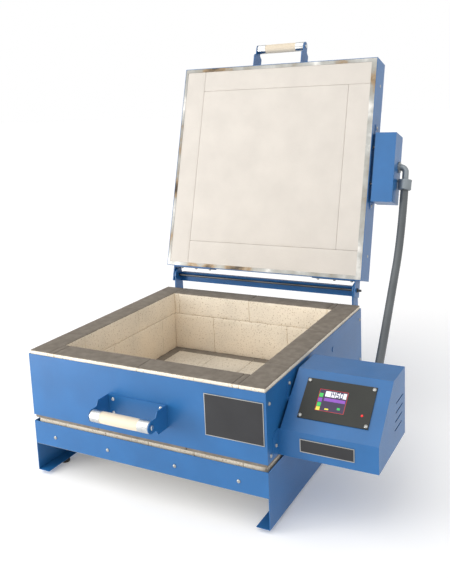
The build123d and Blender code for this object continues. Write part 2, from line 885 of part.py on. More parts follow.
# Control box: a folded cover with a sloped front, a side panel, brackets and what it holds
slope_dy = control_slope_top_y - control_front_y
slope_dz = control_height - control_slope_bottom_height
slope_length = hypot(slope_dy, slope_dz)
slope_up = Vector(0, slope_dy / slope_length, slope_dz / slope_length)
slope_out = Vector(0, -slope_dz / slope_length, slope_dy / slope_length)
control_center_x = (control_left + control_right) / 2
slope_top_edge = Vector(control_center_x, control_slope_top_y, control_top)
face_plane = Plane(
    origin=slope_top_edge - slope_up * control_face_from_top,
    x_dir=(1, 0, 0),
    z_dir=tuple(slope_out),
)
control_slope_bottom = control_bottom + control_slope_bottom_height
control_profile = [
    (control_rear_y, control_bottom),
    (control_rear_y, control_top),
    (control_slope_top_y, control_top),
    (control_front_y, control_slope_bottom),
    (control_front_y, control_bottom),
]
conduit_entry = (conduit_entry_x, control_rear_y, control_bottom + conduit_entry_height)
gland_entry = (cord_gland_x, control_rear_y, control_bottom + cord_gland_height)
entry_thread = conduit_diameter - 2 * box_sheet
gland_thread = cord_gland_diameter - 4 * box_sheet


def control_section(inset):
    """Side view of the control box, moved inward all round by the inset."""
    with BuildSketch(Plane.YZ.offset(control_left)) as section:
        with BuildLine():
            Polyline(*control_profile, close=True)
        make_face()
        if inset:
            offset(amount=-inset, kind=Kind.INTERSECTION, mode=Mode.REPLACE)
    return section.sketch


def face_positions(half_x, half_s):
    """Four places on the sloped face, one near each of its corners."""
    return [
        face_plane.origin + face_plane.x_dir * x + face_plane.y_dir * s
        for x in (-half_x, half_x)
        for s in (-half_s, half_s)
    ]


with BuildPart() as control_cover:
    extrude(control_section(0), amount=control_width)
    extrude(control_section(box_sheet), amount=control_width - box_sheet, mode=Mode.SUBTRACT)
    with BuildSketch(face_plane):
        Rectangle(control_window_width, control_window_height)
    extrude(amount=-2 * box_sheet, mode=Mode.SUBTRACT)
    for point in face_positions(control_screw_x, control_screw_s):
        screw_hole(tuple(point), tuple(slope_out))
    for height, center_y in zip(louvre_heights, louvre_centers_y):
        block(
            (control_right - 2 * box_sheet, control_right + box_sheet),
            (center_y - louvre_length / 2, center_y + louvre_length / 2),
            (control_bottom + height - louvre_width / 2, control_bottom + height + louvre_width / 2),
            Mode.SUBTRACT,
        )
    for entry, thread in ((conduit_entry, entry_thread), (gland_entry, gland_thread)):
        rod(
            (entry[0], entry[1] - 2 * box_sheet, entry[2]),
            (entry[0], entry[1] + box_sheet, entry[2]),
            thread + 2 * pin_clearance,
            Mode.SUBTRACT,
        )
save(control_cover.part, "control_cover")

with BuildPart() as control_side_panel:
    extrude(control_section(box_sheet + pin_clearance), amount=box_sheet)
    rod(
        (control_left - 1, thermocouple_y, thermocouple_z),
        (control_left + box_sheet + 1, thermocouple_y, thermocouple_z),
        thermocouple_diameter + 2 * seat_gap,
        Mode.SUBTRACT,
    )
save(control_side_panel.part, "control_side_panel")

bridge_z = (upper_tab_z - 2 * side_tab_width, upper_tab_z - 1.5 * side_tab_width)
lower_tab_z = [control_bottom + height for height in lower_tab_heights]
with BuildPart() as control_brackets:
    block((case_half_x, tab_face), (lower_tab_front_y, control_front_y + box_sheet), lower_tab_z)
    chamfer(control_brackets.edges().filter_by(Axis.X).group_by(Axis.Y)[0], side_tab_width / 2)
    block(
        (case_half_x, control_left),
        (control_front_y, control_front_y + box_sheet),
        (control_bottom, control_slope_bottom),
    )
    block(
        (case_half_x, tab_face),
        (upper_tab_y - tab_half, upper_tab_y + tab_half),
        (bridge_z[0], upper_tab_z + tab_half),
    )
    block((case_half_x, control_left), (upper_tab_y - tab_half, upper_tab_y + tab_half), bridge_z)
    block(
        (case_half_x, tab_face),
        (rear_tab_y - tab_half, rear_tab_y + tab_half),
        (rear_tab_z - tab_half, rear_tab_z + 1.5 * side_tab_width),
    )
    block(
        (case_half_x, control_left),
        (rear_tab_y - tab_half, rear_tab_y + tab_half),
        (rear_tab_z - tab_half, rear_tab_z),
    )
    for seat in bracket_screws:
        screw_hole(seat, (1, 0, 0))
save(control_brackets.part, "control_brackets")

with BuildPart() as control_screws:
    for seat in bracket_screws:
        pan_head_screw(seat, (1, 0, 0), box_sheet + screw_grip)
    for point in face_positions(control_screw_x, control_screw_s):
        head_seat = point + slope_out * control_face_thickness
        pan_head_screw(tuple(head_seat), tuple(slope_out), control_face_thickness + screw_grip)
save(control_screws.part, "control_screws")

with BuildPart() as control_faceplate:
    with BuildSketch(face_plane):
        Rectangle(control_face_width, control_face_height)
        with Locations((screen_x, screen_s)):
            Rectangle(
                screen_width + 2 * pin_clearance,
                screen_height + 2 * pin_clearance,
                mode=Mode.SUBTRACT,
            )
        with Locations((lamp_x, lamp_s)):
            Circle(lamp_diameter / 2 + pin_clearance, mode=Mode.SUBTRACT)
        with GridLocations(2 * control_screw_x, 2 * control_screw_s, 2, 2):
            Circle(screw_hole_diameter / 2, mode=Mode.SUBTRACT)
    extrude(amount=control_face_thickness)
save(control_faceplate.part, "control_faceplate")

with BuildPart() as touch_screen:
    with BuildSketch(face_plane):
        with Locations((screen_x, screen_s)):
            Rectangle(screen_width, screen_height)
    extrude(amount=screen_thickness)
save(touch_screen.part, "touch_screen")

with BuildPart() as status_lamp:
    with BuildSketch(face_plane.offset(-lamp_diameter)):
        with Locations((lamp_x, lamp_s)):
            Circle(lamp_diameter / 2)
    extrude(amount=lamp_diameter + control_face_thickness + sheet)
    outward_axis = Axis(origin=(0, 0, 0), direction=tuple(slope_out))
    fillet(status_lamp.faces().sort_by(outward_axis)[-1].edges(), lamp_diameter / 3)
save(status_lamp.part, "status_lamp")

standoff_spacing_x = board_width - 2 * standoff_diameter
standoff_spacing_s = board_height - 2 * standoff_diameter
with BuildPart() as circuit_board:
    with BuildSketch(face_plane.offset(-board_depth)):
        Rectangle(board_width, board_height)
    extrude(amount=board_thickness)
    with BuildSketch(face_plane.offset(-board_depth)):
        with GridLocations(standoff_spacing_x, standoff_spacing_s, 2, 2):
            Circle(standoff_diameter / 2)
    extrude(amount=board_depth)
    with BuildSketch(face_plane.offset(-board_depth + board_thickness)):
        with Locations((screen_x, screen_s)):
            Rectangle(display_width, display_height)
    extrude(amount=board_depth - board_thickness)
save(circuit_board.part, "circuit_board")


def on_floor(center, size):
    """Add a box of the given size that stands on the floor of the control box."""
    block(
        (center[0] - size[0] / 2, center[0] + size[0] / 2),
        (center[1] - size[1] / 2, center[1] + size[1] / 2),
        (control_bottom + box_sheet, control_bottom + box_sheet + size[2]),
    )


with BuildPart() as transformer:
    on_floor(transformer_center, transformer_size)
save(transformer.part, "transformer")

relay_low_x = control_left + box_sheet
with BuildPart() as relays_and_terminals:
    for y in relay_centers_y:
        block(
            (relay_low_x, relay_low_x + relay_size[0]),
            (y - relay_size[1] / 2, y + relay_size[1] / 2),
            (control_bottom + relay_height, control_bottom + relay_height + relay_size[2]),
        )
    on_floor(terminal_block_center, terminal_block_size)
save(relays_and_terminals.part, "relays_and_terminals")

body_plate_top = case_top - body_plate_from_case_top
with BuildPart() as bare_plates:
    block(
        (body_plate_center_x - body_plate_width / 2, body_plate_center_x + body_plate_width / 2),
        (-case_half_y - body_plate_thickness, -case_half_y),
        (body_plate_top - body_plate_height, body_plate_top),
    )
    block(
        (name_plate_x - name_plate_width / 2, name_plate_x + name_plate_width / 2),
        (control_front_y - body_plate_thickness, control_front_y),
        (
            control_bottom + name_plate_above_bottom,
            control_bottom + name_plate_above_bottom + name_plate_height,
        ),
    )
    fillet(bare_plates.edges().filter_by(Axis.Y), body_plate_thickness)
save(bare_plates.part, "bare_plates")

with BuildPart() as conduit_connector:
    rod(
        (conduit_entry[0], conduit_entry[1] - 2 * connector_nut_thickness, conduit_entry[2]),
        (conduit_entry[0], conduit_entry[1] + connector_length, conduit_entry[2]),
        entry_thread,
    )
    rod(
        conduit_entry,
        (conduit_entry[0], conduit_entry[1] + connector_length, conduit_entry[2]),
        connector_diameter,
    )
    rod(
        conduit_entry,
        (conduit_entry[0], conduit_entry[1] + connector_nut_thickness, conduit_entry[2]),
        connector_nut_diameter,
    )
save(conduit_connector.part, "conduit_connector")

with BuildPart() as cord_gland:
    gland_end = gland_entry[1] + cord_gland_length
    rod(
        (gland_entry[0], gland_entry[1] - 2 * connector_nut_thickness, gland_entry[2]),
        (gland_entry[0], gland_end, gland_entry[2]),
        gland_thread,
    )
    with BuildSketch(Plane(origin=gland_entry, x_dir=(1, 0, 0), z_dir=(0, 1, 0))):
        RegularPolygon(cord_gland_diameter / 2, 6)
    extrude(amount=connector_nut_thickness)
    rod(
        (gland_entry[0], gland_end - cord_gland_length / 2, gland_entry[2]),
        (gland_entry[0], gland_end, gland_entry[2]),
        cord_gland_diameter,
    )
    rod(
        (gland_entry[0], gland_end - cord_gland_recess, gland_entry[2]),
        (gland_entry[0], gland_end, gland_entry[2]),
        cord_gland_bore,
        Mode.SUBTRACT,
    )
save(cord_gland.part, "cord_gland")


# Lid: a sheet band and cover, heat stained trim, fibre boards and the heating element in them
trim_half = side_inner - seat_gap
trim_front = lid_front + sheet + seat_gap
trim_rear = lid_rear - sheet - seat_gap
fibre_bottom = lid_face + trim_thickness
fibre_top = fibre_bottom + fibre_layer
element_z = fibre_top - element_below_board_top
center_left = center_panel_x - center_panel_size / 2
center_right = center_panel_x + center_panel_size / 2
center_front = center_panel_y - center_panel_size / 2
center_rear = center_panel_y + center_panel_size / 2
junction_left = case_half_x + junction_gap
junction_right = junction_left + junction_depth
junction_inner = junction_left + box_sheet
lead_bushing_end = junction_inner + lead_bushing_length
lead_end_x = lead_bushing_end + lead_tip
strap_bottom = lid_face + junction_tab_above_face
strap_z = (strap_bottom, strap_bottom + junction_tab_height)
junction_screw_z = (strap_z[0] + strap_z[1]) / 2


def element_route():
    """Corner points and bend radii of the serpentine, whose two ends turn out to the right."""
    run_left = center_panel_x - element_run_half_length
    run_right = center_panel_x + element_run_half_length
    first_y = center_panel_y - element_pitch * (element_runs - 1) / 2
    last_y = first_y + element_pitch * (element_runs - 1)
    first_lead, last_lead = element_lead_y
    points = [(lead_end_x, first_lead), (element_riser_x, first_lead), (element_riser_x, first_y)]
    for i in range(element_runs):
        y = first_y + i * element_pitch
        starts_right = i % 2 == 0
        if i > 0:
            points.append((run_right if starts_right else run_left, y))
        if i < element_runs - 1:
            points.append((run_left if starts_right else run_right, y))
    points += [(element_riser_x, last_y), (element_riser_x, last_lead), (lead_end_x, last_lead)]
    turns = 2 * (element_runs - 1)
    radii = [element_corner_radius] * 2 + [element_bend_radius] * turns + [element_corner_radius] * 2
    return [(x, y, element_z) for x, y in points], radii


def along_element(diameter, mode=Mode.ADD):
    """Add or cut a round bar along the element's whole route."""
    points, radii = element_route()
    with BuildLine() as route:
        FilletPolyline(*points, radius=radii)
    with BuildSketch(Plane(origin=points[0], z_dir=(1, 0, 0))) as section:
        Circle(diameter / 2)
    sweep(section.sketch, path=route.line, mode=mode)


with BuildPart() as lid_band:
    block((-case_half_x, case_half_x), (lid_front, lid_rear), (lid_face, lid_top))
    block(
        (-side_inner, side_inner),
        (lid_front + sheet, lid_rear - sheet),
        (lid_face, lid_top),
        Mode.SUBTRACT,
    )
    for sign in (-1, 1):
        for y in lid_side_screw_y:
            screw_hole((sign * case_half_x, y, lid_face + lid_side_screw_above_face), (sign, 0, 0))
        for x in ear_bolt_x:
            screw_hole((sign * x, lid_rear, hinge_z), (0, 1, 0))
    for y in element_lead_y:
        rod(
            (side_inner - 1, y, element_z),
            (case_half_x + 1, y, element_z),
            lead_hole_diameter,
            Mode.SUBTRACT,
        )
    for y in junction_screw_y:
        screw_hole((case_half_x, y, junction_screw_z), (1, 0, 0))
    handle_holes(lid_handle_plane)
save_on_lid(lid_band.part, "lid_band")

with BuildPart() as lid_cover:
    block((-side_inner, side_inner), (lid_front + sheet, lid_rear - sheet), (lid_top - sheet, lid_top))
save_on_lid(lid_cover.part, "lid_cover")

with BuildPart() as lid_trim:
    trim_z = (lid_face, lid_face + trim_thickness)
    block((-trim_half, trim_half), (trim_front, trim_rear), trim_z)
    block(
        (-trim_half + trim_left_width, trim_half - trim_right_width),
        (trim_front + trim_front_width, trim_rear - trim_rear_width),
        trim_z,
        Mode.SUBTRACT,
    )
save_on_lid(lid_trim.part, "lid_trim")

fibre_z = (fibre_bottom, fibre_top)
with BuildPart() as fibre_border:
    block((-trim_half, center_left - seat_gap), (trim_front, trim_rear), fibre_z)
    block((center_left, trim_half), (trim_front, center_front - seat_gap), fibre_z)
    block((center_left, trim_half), (center_rear + seat_gap, trim_rear), fibre_z)
    block((center_right + seat_gap, trim_half), (center_front, center_rear), fibre_z)
    along_element(element_tunnel, Mode.SUBTRACT)
save_on_lid(fibre_border.part, "fibre_border")

with BuildPart() as fibre_center_panel:
    block((center_left, center_right), (center_front, center_rear), fibre_z)
    along_element(element_tunnel, Mode.SUBTRACT)
save_on_lid(fibre_center_panel.part, "fibre_center_panel")

with BuildPart() as lid_insulation:
    block((-trim_half, trim_half), (trim_front, trim_rear), (fibre_top, lid_top - sheet))
save_on_lid(lid_insulation.part, "lid_insulation")

with BuildPart() as heating_element:
    along_element(element_diameter)
save_on_lid(heating_element.part, "heating_element")


# Junction box on the lid's right side, with the element's leads, an elbow and the conduit collar
junction_z = (lid_face + junction_above_face, lid_face + junction_top_above_face)
back_plate_y = (junction_front_y + box_sheet + pin_clearance, junction_rear_y - box_sheet - pin_clearance)
back_plate_z = (junction_z[0] + box_sheet + pin_clearance, junction_z[1] - box_sheet - pin_clearance)
elbow_z = lid_face + elbow_above_face
elbow_x = junction_right + elbow_reach
collar_start_y = elbow_y + elbow_collar_start
collar_end_y = collar_start_y + collar_length

with BuildPart() as junction_bracket:
    block((case_half_x, tab_face), (junction_tab_front_y, junction_tab_rear_y), strap_z)
    fillet(junction_bracket.edges().filter_by(Axis.X), junction_tab_height / 4)
    for y in back_plate_y:
        block((tab_face, junction_left), (y - box_sheet, y + box_sheet), strap_z)
    block((junction_left, junction_inner), back_plate_y, back_plate_z)
    for y in junction_screw_y:
        screw_hole((tab_face, y, junction_screw_z), (1, 0, 0))
    for y in element_lead_y:
        rod(
            (junction_left - 1, y, element_z),
            (junction_inner + 1, y, element_z),
            lead_hole_diameter,
            Mode.SUBTRACT,
        )
save_on_lid(junction_bracket.part, "junction_bracket")

with BuildPart() as junction_box:
    block((junction_left, junction_right), (junction_front_y, junction_rear_y), junction_z)
    block(
        (junction_left, junction_right - box_sheet),
        (junction_front_y + box_sheet, junction_rear_y - box_sheet),
        (junction_z[0] + box_sheet, junction_z[1] - box_sheet),
        Mode.SUBTRACT,
    )
    rod(
        (junction_right - 2 * box_sheet, elbow_y, elbow_z),
        (junction_right + 1, elbow_y, elbow_z),
        elbow_diameter + 2 * pin_clearance,
        Mode.SUBTRACT,
    )
save_on_lid(junction_box.part, "junction_box")

with BuildPart() as lid_screws:
    for sign in (-1, 1):
        for y in lid_side_screw_y:
            seat = (sign * case_half_x, y, lid_face + lid_side_screw_above_face)
            pan_head_screw(seat, (sign, 0, 0), screw_grip, screw_head_diameter, sheet)
        for x in ear_bolt_x:
            seat = (sign * x, lid_rear + ear_plate, hinge_z)
            grip = ear_plate + screw_grip
            pan_head_screw(seat, (0, 1, 0), grip, ear_bolt_head_diameter, ear_bolt_head_height)
    for y in junction_screw_y:
        pan_head_screw((tab_face, y, junction_screw_z), (1, 0, 0), box_sheet + screw_grip)
save_on_lid(lid_screws.part, "lid_screws")

with BuildPart() as lead_bushings:
    for y in element_lead_y:
        rod((junction_inner, y, element_z), (lead_bushing_end, y, element_z), lead_bushing_diameter)
        rod((junction_inner, y, element_z), (lead_bushing_end, y, element_z), element_tunnel, Mode.SUBTRACT)
save_on_lid(lead_bushings.part, "lead_bushings")

with BuildPart() as conduit_elbow:
    elbow_start = (junction_right - 2 * box_sheet, elbow_y, elbow_z)
    with BuildLine() as elbow_path:
        FilletPolyline(
            elbow_start,
            (elbow_x, elbow_y, elbow_z),
            (elbow_x, collar_start_y, elbow_z),
            radius=elbow_bend_radius,
        )
    with BuildSketch(Plane(origin=elbow_start, z_dir=(1, 0, 0))):
        Circle(elbow_diameter / 2)
    sweep(path=elbow_path.line)
    rod(
        (junction_right, elbow_y, elbow_z),
        (junction_right + locknut_thickness, elbow_y, elbow_z),
        locknut_diameter,
    )
save_on_lid(conduit_elbow.part, "conduit_elbow")

with BuildPart() as conduit_collar:
    rod((elbow_x, collar_start_y, elbow_z), (elbow_x, collar_end_y, elbow_z), collar_diameter)
    chamfer(conduit_collar.faces().sort_by(Axis.Y)[-1].edges(), collar_lip / 2)
    rod(
        (elbow_x, collar_start_y, elbow_z),
        (elbow_x, collar_start_y + collar_lip, elbow_z),
        collar_lip_diameter,
    )
save_on_lid(conduit_collar.part, "conduit_collar")


# Conduit: flexible tube from the collar on the open lid down to the control box
collar_mouth = Vertex(elbow_x, collar_end_y, elbow_z).rotate(lid_axis, -lid_open_angle).center()
collar_direction = Vector(0, 1, 0).rotate(Axis.X, -lid_open_angle)
conduit_end = Vector(conduit_entry_x, control_rear_y + connector_length, conduit_entry[2])
conduit_route = [collar_mouth, collar_mouth + collar_direction * conduit_first_run]
conduit_route += [Vector(*point) for point in conduit_points]
conduit_route += [conduit_end + Vector(0, conduit_last_run, 0), conduit_end]


def bend_radii(points):
    """Radius at each inner point: a share of the shorter run over the tangent of half the turn."""
    radii = []
    for i in range(1, len(points) - 1):
        before = points[i] - points[i - 1]
        after = points[i + 1] - points[i]
        half_turn = radians(before.get_angle(after)) / 2
        radii.append(conduit_bend_share * min(before.length, after.length) / tan(half_turn))
    return radii


conduit_radii = bend_radii(conduit_route)
with BuildPart() as conduit:
    with BuildLine() as conduit_path:
        FilletPolyline(*conduit_route, radius=conduit_radii)
    with BuildSketch(Plane(origin=conduit_route[0], z_dir=tuple(collar_direction))):
        Circle(conduit_diameter / 2)
    sweep(path=conduit_path.line)
save(conduit.part, "conduit")
conduit_length = sum(edge.length for edge in conduit_path.edges())
section_area = pi * (conduit_diameter / 2) ** 2
print("conduit points", [tuple(round(c, 1) for c in point) for point in conduit_route])
print("conduit radii", [round(radius) for radius in conduit_radii])
print("conduit length", round(conduit_length, 1))
print("conduit volume over section times length", conduit.part.volume / section_area / conduit_length)
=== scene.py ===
"""Looks of the glass fusing kiln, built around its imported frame.

Sizes are in millimetres until a mesh is written. Camera, lamps and materials are in metres.
Colours are linear.
"""

import json
import math

import bmesh
import bpy
import numpy as np
from mathutils import Matrix, Vector


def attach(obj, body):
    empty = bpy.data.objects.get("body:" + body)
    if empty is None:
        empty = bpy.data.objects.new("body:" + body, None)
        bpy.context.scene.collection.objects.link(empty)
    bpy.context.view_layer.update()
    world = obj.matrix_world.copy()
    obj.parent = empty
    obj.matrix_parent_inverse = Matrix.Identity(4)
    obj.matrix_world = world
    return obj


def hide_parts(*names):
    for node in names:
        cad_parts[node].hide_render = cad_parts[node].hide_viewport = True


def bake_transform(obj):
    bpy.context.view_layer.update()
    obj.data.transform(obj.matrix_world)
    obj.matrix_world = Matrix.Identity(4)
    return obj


bl_info = {
    "name": "Glass kiln looks",
    "version": (1, 0, 0),
    "blender": (4, 5, 0),
    "location": "View3D > Sidebar > Kiln",
    "description": "Bricks, fibre, paint, handles, screen and conduit of a glass fusing kiln",
    "category": "Object",
}

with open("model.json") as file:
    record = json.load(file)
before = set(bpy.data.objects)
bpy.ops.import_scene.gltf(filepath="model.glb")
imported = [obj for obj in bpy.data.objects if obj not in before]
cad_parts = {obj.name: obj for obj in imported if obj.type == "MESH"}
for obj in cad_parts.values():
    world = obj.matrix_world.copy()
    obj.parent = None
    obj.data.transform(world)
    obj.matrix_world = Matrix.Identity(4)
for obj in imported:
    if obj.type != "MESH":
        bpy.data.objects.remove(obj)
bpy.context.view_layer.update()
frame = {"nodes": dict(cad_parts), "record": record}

MM = 1000.0

# Places shared with the frame
LID_ANGLE = math.radians(106.4)
HINGE_Y = 328.0
HINGE_Z = 339.4
CASE_HALF = 302.5
INTERIOR_HALF = 242.85
BRICK_HALF = 300.0
SLAB_HALF = 297.5
SLAB_BOTTOM = 77.4
SLAB_TOP = 140.9
BRICK_BOTTOM = 141.2
COURSE_JOINT = 245.4
RIM_TOP = 307.1
LID_FACE = 307.9
BOX_SIDE = 304.0

# Middle of the control box's sloped face, and its directions
FACE_ORIGIN = np.array((408.75, -194.63, 253.62))
FACE_ACROSS = np.array((1.0, 0.0, 0.0))
FACE_UP = np.array((0.0, 0.7635, 0.6458))
FACE_OUT = np.array((0.0, -0.6458, 0.7635))


# Shapes: each is a pair of points and four-sided faces
def opened(points):
    """Turn points of the closed lid about the hinge axis to the open angle."""
    y = points[:, 1] - HINGE_Y
    z = points[:, 2] - HINGE_Z
    c, s = math.cos(LID_ANGLE), math.sin(LID_ANGLE)
    return np.stack((points[:, 0], HINGE_Y + y * c + z * s, HINGE_Z - y * s + z * c), 1)


def swung(shape):
    """A shape of the closed lid, swung open."""
    return opened(shape[0]), shape[1]


def unmoved(shape):
    """A shape that stays where it was worked out."""
    return shape


def join(shapes):
    """Put several (points, faces) shapes into one, with the face numbers moved along."""
    points, faces, start = [], [], 0
    for p, f in shapes:
        points.append(p)
        faces.append(f + start)
        start += len(p)
    return np.concatenate(points), np.concatenate(faces)


def grid_faces(rows, columns):
    """Four-sided faces of a grid of rows by columns points."""
    corner = (np.arange(rows - 1)[:, None] * columns + np.arange(columns - 1)[None, :]).ravel()
    return np.stack((corner, corner + 1, corner + columns + 1, corner + columns), 1)


# Turns of the wave's sines in radians per millimetre along x, y and z, and where each starts
WAVE_TURNS = np.array(((0.31, 0.17, 0.23), (0.11, 0.19, -0.29), (0.13, -0.21, 0.27)))
WAVE_STARTS = np.array((1.3, 0.4, 2.2))


def wave(points):
    """Smooth irregular value from -1 to 1: a product of three sines of skewed sums of x, y and z."""
    return np.sin(points @ WAVE_TURNS.T + WAVE_STARTS).prod(1)


# Grid lines within a block's rounding, as shares of its radius
ROUNDING_LINES = np.array((0.4, 0.75, 1.0))
# Largest radius, as a share of half the block's thinnest side
LARGEST_RADIUS = 0.49
# A point is on an edge where it lies out by this share of the radius on two axes
EDGE_SHARE = 0.3
# An edge is chipped where the wave is above this value
CHIPPED_ABOVE = 0.25


def grid_lines(half, radius, spacing):
    """Grid positions along one side of a block: fine within the rounding, then about the spacing."""
    inner = half - radius
    count = max(2, int(round(2 * inner / spacing)) + 1)
    edge = inner + radius * ROUNDING_LINES
    return np.concatenate((-edge[::-1], np.linspace(-inner, inner, count), edge))


def rounded_block(low, high, radius, spacing, chips=0.0):
    """Block whose surface lies one radius outside a smaller inner block.

    Each face's grid points are moved to that distance. Chips sink the points of its edges by the wave.
    """
    low, high = np.array(low, float), np.array(high, float)
    half = (high - low) / 2
    radius = min(radius, LARGEST_RADIUS * half.min())
    shapes = []
    for axis in range(3):
        u, v = (axis + 1) % 3, (axis + 2) % 3
        lines_u = grid_lines(half[u], radius, spacing)
        lines_v = grid_lines(half[v], radius, spacing)
        a, b = np.meshgrid(lines_u, lines_v, indexing="ij")
        for side in (-1, 1):
            q = np.zeros((a.size, 3))
            q[:, axis] = side * half[axis]
            q[:, u], q[:, v] = a.ravel(), b.ravel()
            inner = np.clip(q, -(half - radius), half - radius)
            out = q - inner
            length = np.linalg.norm(out, axis=1, keepdims=True)
            p = inner + radius * out / length
            if chips:
                on_edge = (np.abs(out) > EDGE_SHARE * radius).sum(1) > 1
                sink = chips * np.clip(wave(p + low) - CHIPPED_ABOVE, 0, None) * on_edge
                p = p - sink[:, None] * out / length
            shapes.append((p + low + half, grid_faces(*a.shape)))
    return join(shapes)


# An axis whose z is at least this is set against x, and any other against z
NEARLY_UPRIGHT = 0.9


def lathe(start, direction, profile, segments, recess=None):
    """Profile of (height, radius) pairs turned about an axis.

    A recess (half width, half length, depth, height) sinks a cross into the points above that height.
    """
    direction = np.array(direction, float) / np.linalg.norm(direction)
    upright = abs(direction[2]) >= NEARLY_UPRIGHT
    helper = np.array((1.0, 0.0, 0.0)) if upright else np.array((0.0, 0.0, 1.0))
    side = np.cross(direction, helper)
    side /= np.linalg.norm(side)
    other = np.cross(direction, side)
    heights, radii = np.array(profile, float).T
    angle = np.linspace(0, 2 * math.pi, segments + 1)
    x = radii[:, None] * np.cos(angle)
    y = radii[:, None] * np.sin(angle)
    h = np.repeat(heights[:, None], segments + 1, 1)
    if recess:
        width, length, depth, above = recess
        one_arm = (np.abs(x) < width) & (np.abs(y) < length)
        other_arm = (np.abs(y) < width) & (np.abs(x) < length)
        h = h - depth * ((one_arm | other_arm) & (h > above))
    along = np.array(start, float) + h[..., None] * direction
    points = along + x[..., None] * side + y[..., None] * other
    return points.reshape(-1, 3), grid_faces(len(profile), segments + 1)


# Pan head: its size, how much of its height is upright, and its cross recess
HEAD_RADIUS = 4.0
HEAD_HEIGHT = 2.6
HEAD_POINTS = 9
HEAD_SEGMENTS = 32
UPRIGHT_SHARE = 0.35
RECESS_WIDTH = 0.16
RECESS_LENGTH = 0.6
RECESS_DEPTH = 0.3
RECESS_ABOVE = 0.5


def screw_head(point, direction, height=HEAD_HEIGHT):
    """Pan head: a quarter ellipse turned about the screw's axis, with a cross recess."""
    low, dome_height = UPRIGHT_SHARE * height, (1 - UPRIGHT_SHARE) * height
    turn = np.linspace(0, math.pi / 2, HEAD_POINTS)
    dome = [(low + dome_height * math.sin(t), HEAD_RADIUS * math.cos(t)) for t in turn]
    profile = [(0.0, 0.0), (0.0, HEAD_RADIUS)] + dome[:-1] + [(height, 0.0)]
    cross_size = (RECESS_WIDTH * HEAD_RADIUS, RECESS_LENGTH * HEAD_RADIUS)
    recess = (*cross_size, RECESS_DEPTH * height, RECESS_ABOVE * height)
    return lathe(point, direction, profile, HEAD_SEGMENTS, recess)


# Points nearer than this many metres are one point, and edges sharper than this many degrees stay sharp
SEAM = 2e-6
SHARP = 40.0


def build(name, shape, material, body, nodes=(), sharp=SHARP):
    """Write a shape into a mesh at the origin, close its seams, and let it ride on its body."""
    points, faces = shape
    mesh = bpy.data.meshes.new(name)
    mesh.from_pydata((points / MM).tolist(), [], faces.tolist())
    work = bmesh.new()
    work.from_mesh(mesh)
    bmesh.ops.remove_doubles(work, verts=work.verts, dist=SEAM)
    bmesh.ops.recalc_face_normals(work, faces=work.faces)
    work.to_mesh(mesh)
    work.free()
    mesh.polygons.foreach_set("use_smooth", np.ones(len(mesh.polygons), bool))
    mesh.set_sharp_from_angle(angle=math.radians(sharp))
    obj = bpy.data.objects.new(name, mesh)
    bpy.context.scene.collection.objects.link(obj)
    mesh.materials.append(material)
    if body:
        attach(obj, body)
    if nodes:
        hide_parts(*nodes)
    return obj


# Material nodes: each pattern reads Object coordinates
MIX_FACTOR, MIX_FIRST, MIX_SECOND, MIX_RESULT = 0, 6, 7, 2
MIDDLE = 0.5


def wire(tree, socket, value):
    """Link a socket, or set its own value."""
    if isinstance(value, bpy.types.NodeSocket):
        tree.links.new(value, socket)
    else:
        socket.default_value = value


def calc(tree, operation, *values):
    """Math node's result."""
    node = tree.nodes.new("ShaderNodeMath")
    node.operation = operation
    for socket, value in zip(node.inputs, values):
        wire(tree, socket, value)
    return node.outputs[0]


def noise(tree, scale, detail=4.0, stretch=(1.0, 1.0, 1.0)):
    """Noise on Object coordinates, in features per metre."""
    place = tree.nodes.new("ShaderNodeTexCoord")
    mapping = tree.nodes.new("ShaderNodeMapping")
    mapping.inputs["Scale"].default_value = stretch
    texture = tree.nodes.new("ShaderNodeTexNoise")
    texture.inputs["Scale"].default_value = scale
    texture.inputs["Detail"].default_value = detail
    tree.links.new(place.outputs["Object"], mapping.inputs["Vector"])
    tree.links.new(mapping.outputs["Vector"], texture.inputs["Vector"])
    return texture.outputs["Fac"]


def ramp(tree, factor, stops):
    """Colour ramp over (position, colour) stops."""
    node = tree.nodes.new("ShaderNodeValToRGB")
    while len(node.color_ramp.elements) < len(stops):
        node.color_ramp.elements.new(MIDDLE)
    for element, (position, color) in zip(node.color_ramp.elements, stops):
        element.position = position
        element.color = (*color, 1.0)
    tree.links.new(factor, node.inputs["Fac"])
    return node.outputs["Color"]


def mix(tree, factor, first, second, blend="MIX"):
    """Colour mix of two sockets."""
    node = tree.nodes.new("ShaderNodeMix")
    node.data_type = "RGBA"
    node.blend_type = blend
    wire(tree, node.inputs[MIX_FACTOR], factor)
    wire(tree, node.inputs[MIX_FIRST], first)
    wire(tree, node.inputs[MIX_SECOND], second)
    return node.outputs[MIX_RESULT]


def axes(tree):
    """The x, y and z of the Object coordinates, in metres."""
    place = tree.nodes.new("ShaderNodeTexCoord")
    split = tree.nodes.new("ShaderNodeSeparateXYZ")
    tree.links.new(place.outputs["Object"], split.inputs[0])
    return split.outputs


def finish(name, metallic=0.0, coat=0.0):
    """New material with its tree and principled shader."""
    material = bpy.data.materials.new(name)
    material.use_nodes = True
    shader = material.node_tree.nodes["Principled BSDF"]
    shader.inputs["Metallic"].default_value = metallic
    shader.inputs["Coat Weight"].default_value = coat
    return material, material.node_tree, shader


def bump(tree, shader, height, distance, strength=0.5):
    """Bump from a height socket, its distance in metres."""
    node = tree.nodes.new("ShaderNodeBump")
    node.inputs["Strength"].default_value = strength
    node.inputs["Distance"].default_value = distance
    tree.links.new(height, node.inputs["Height"])
    tree.links.new(node.outputs["Normal"], shader.inputs["Normal"])


def scaled(color, factor):
    """Colour times a factor."""
    return tuple(min(1.0, c * factor) for c in color)


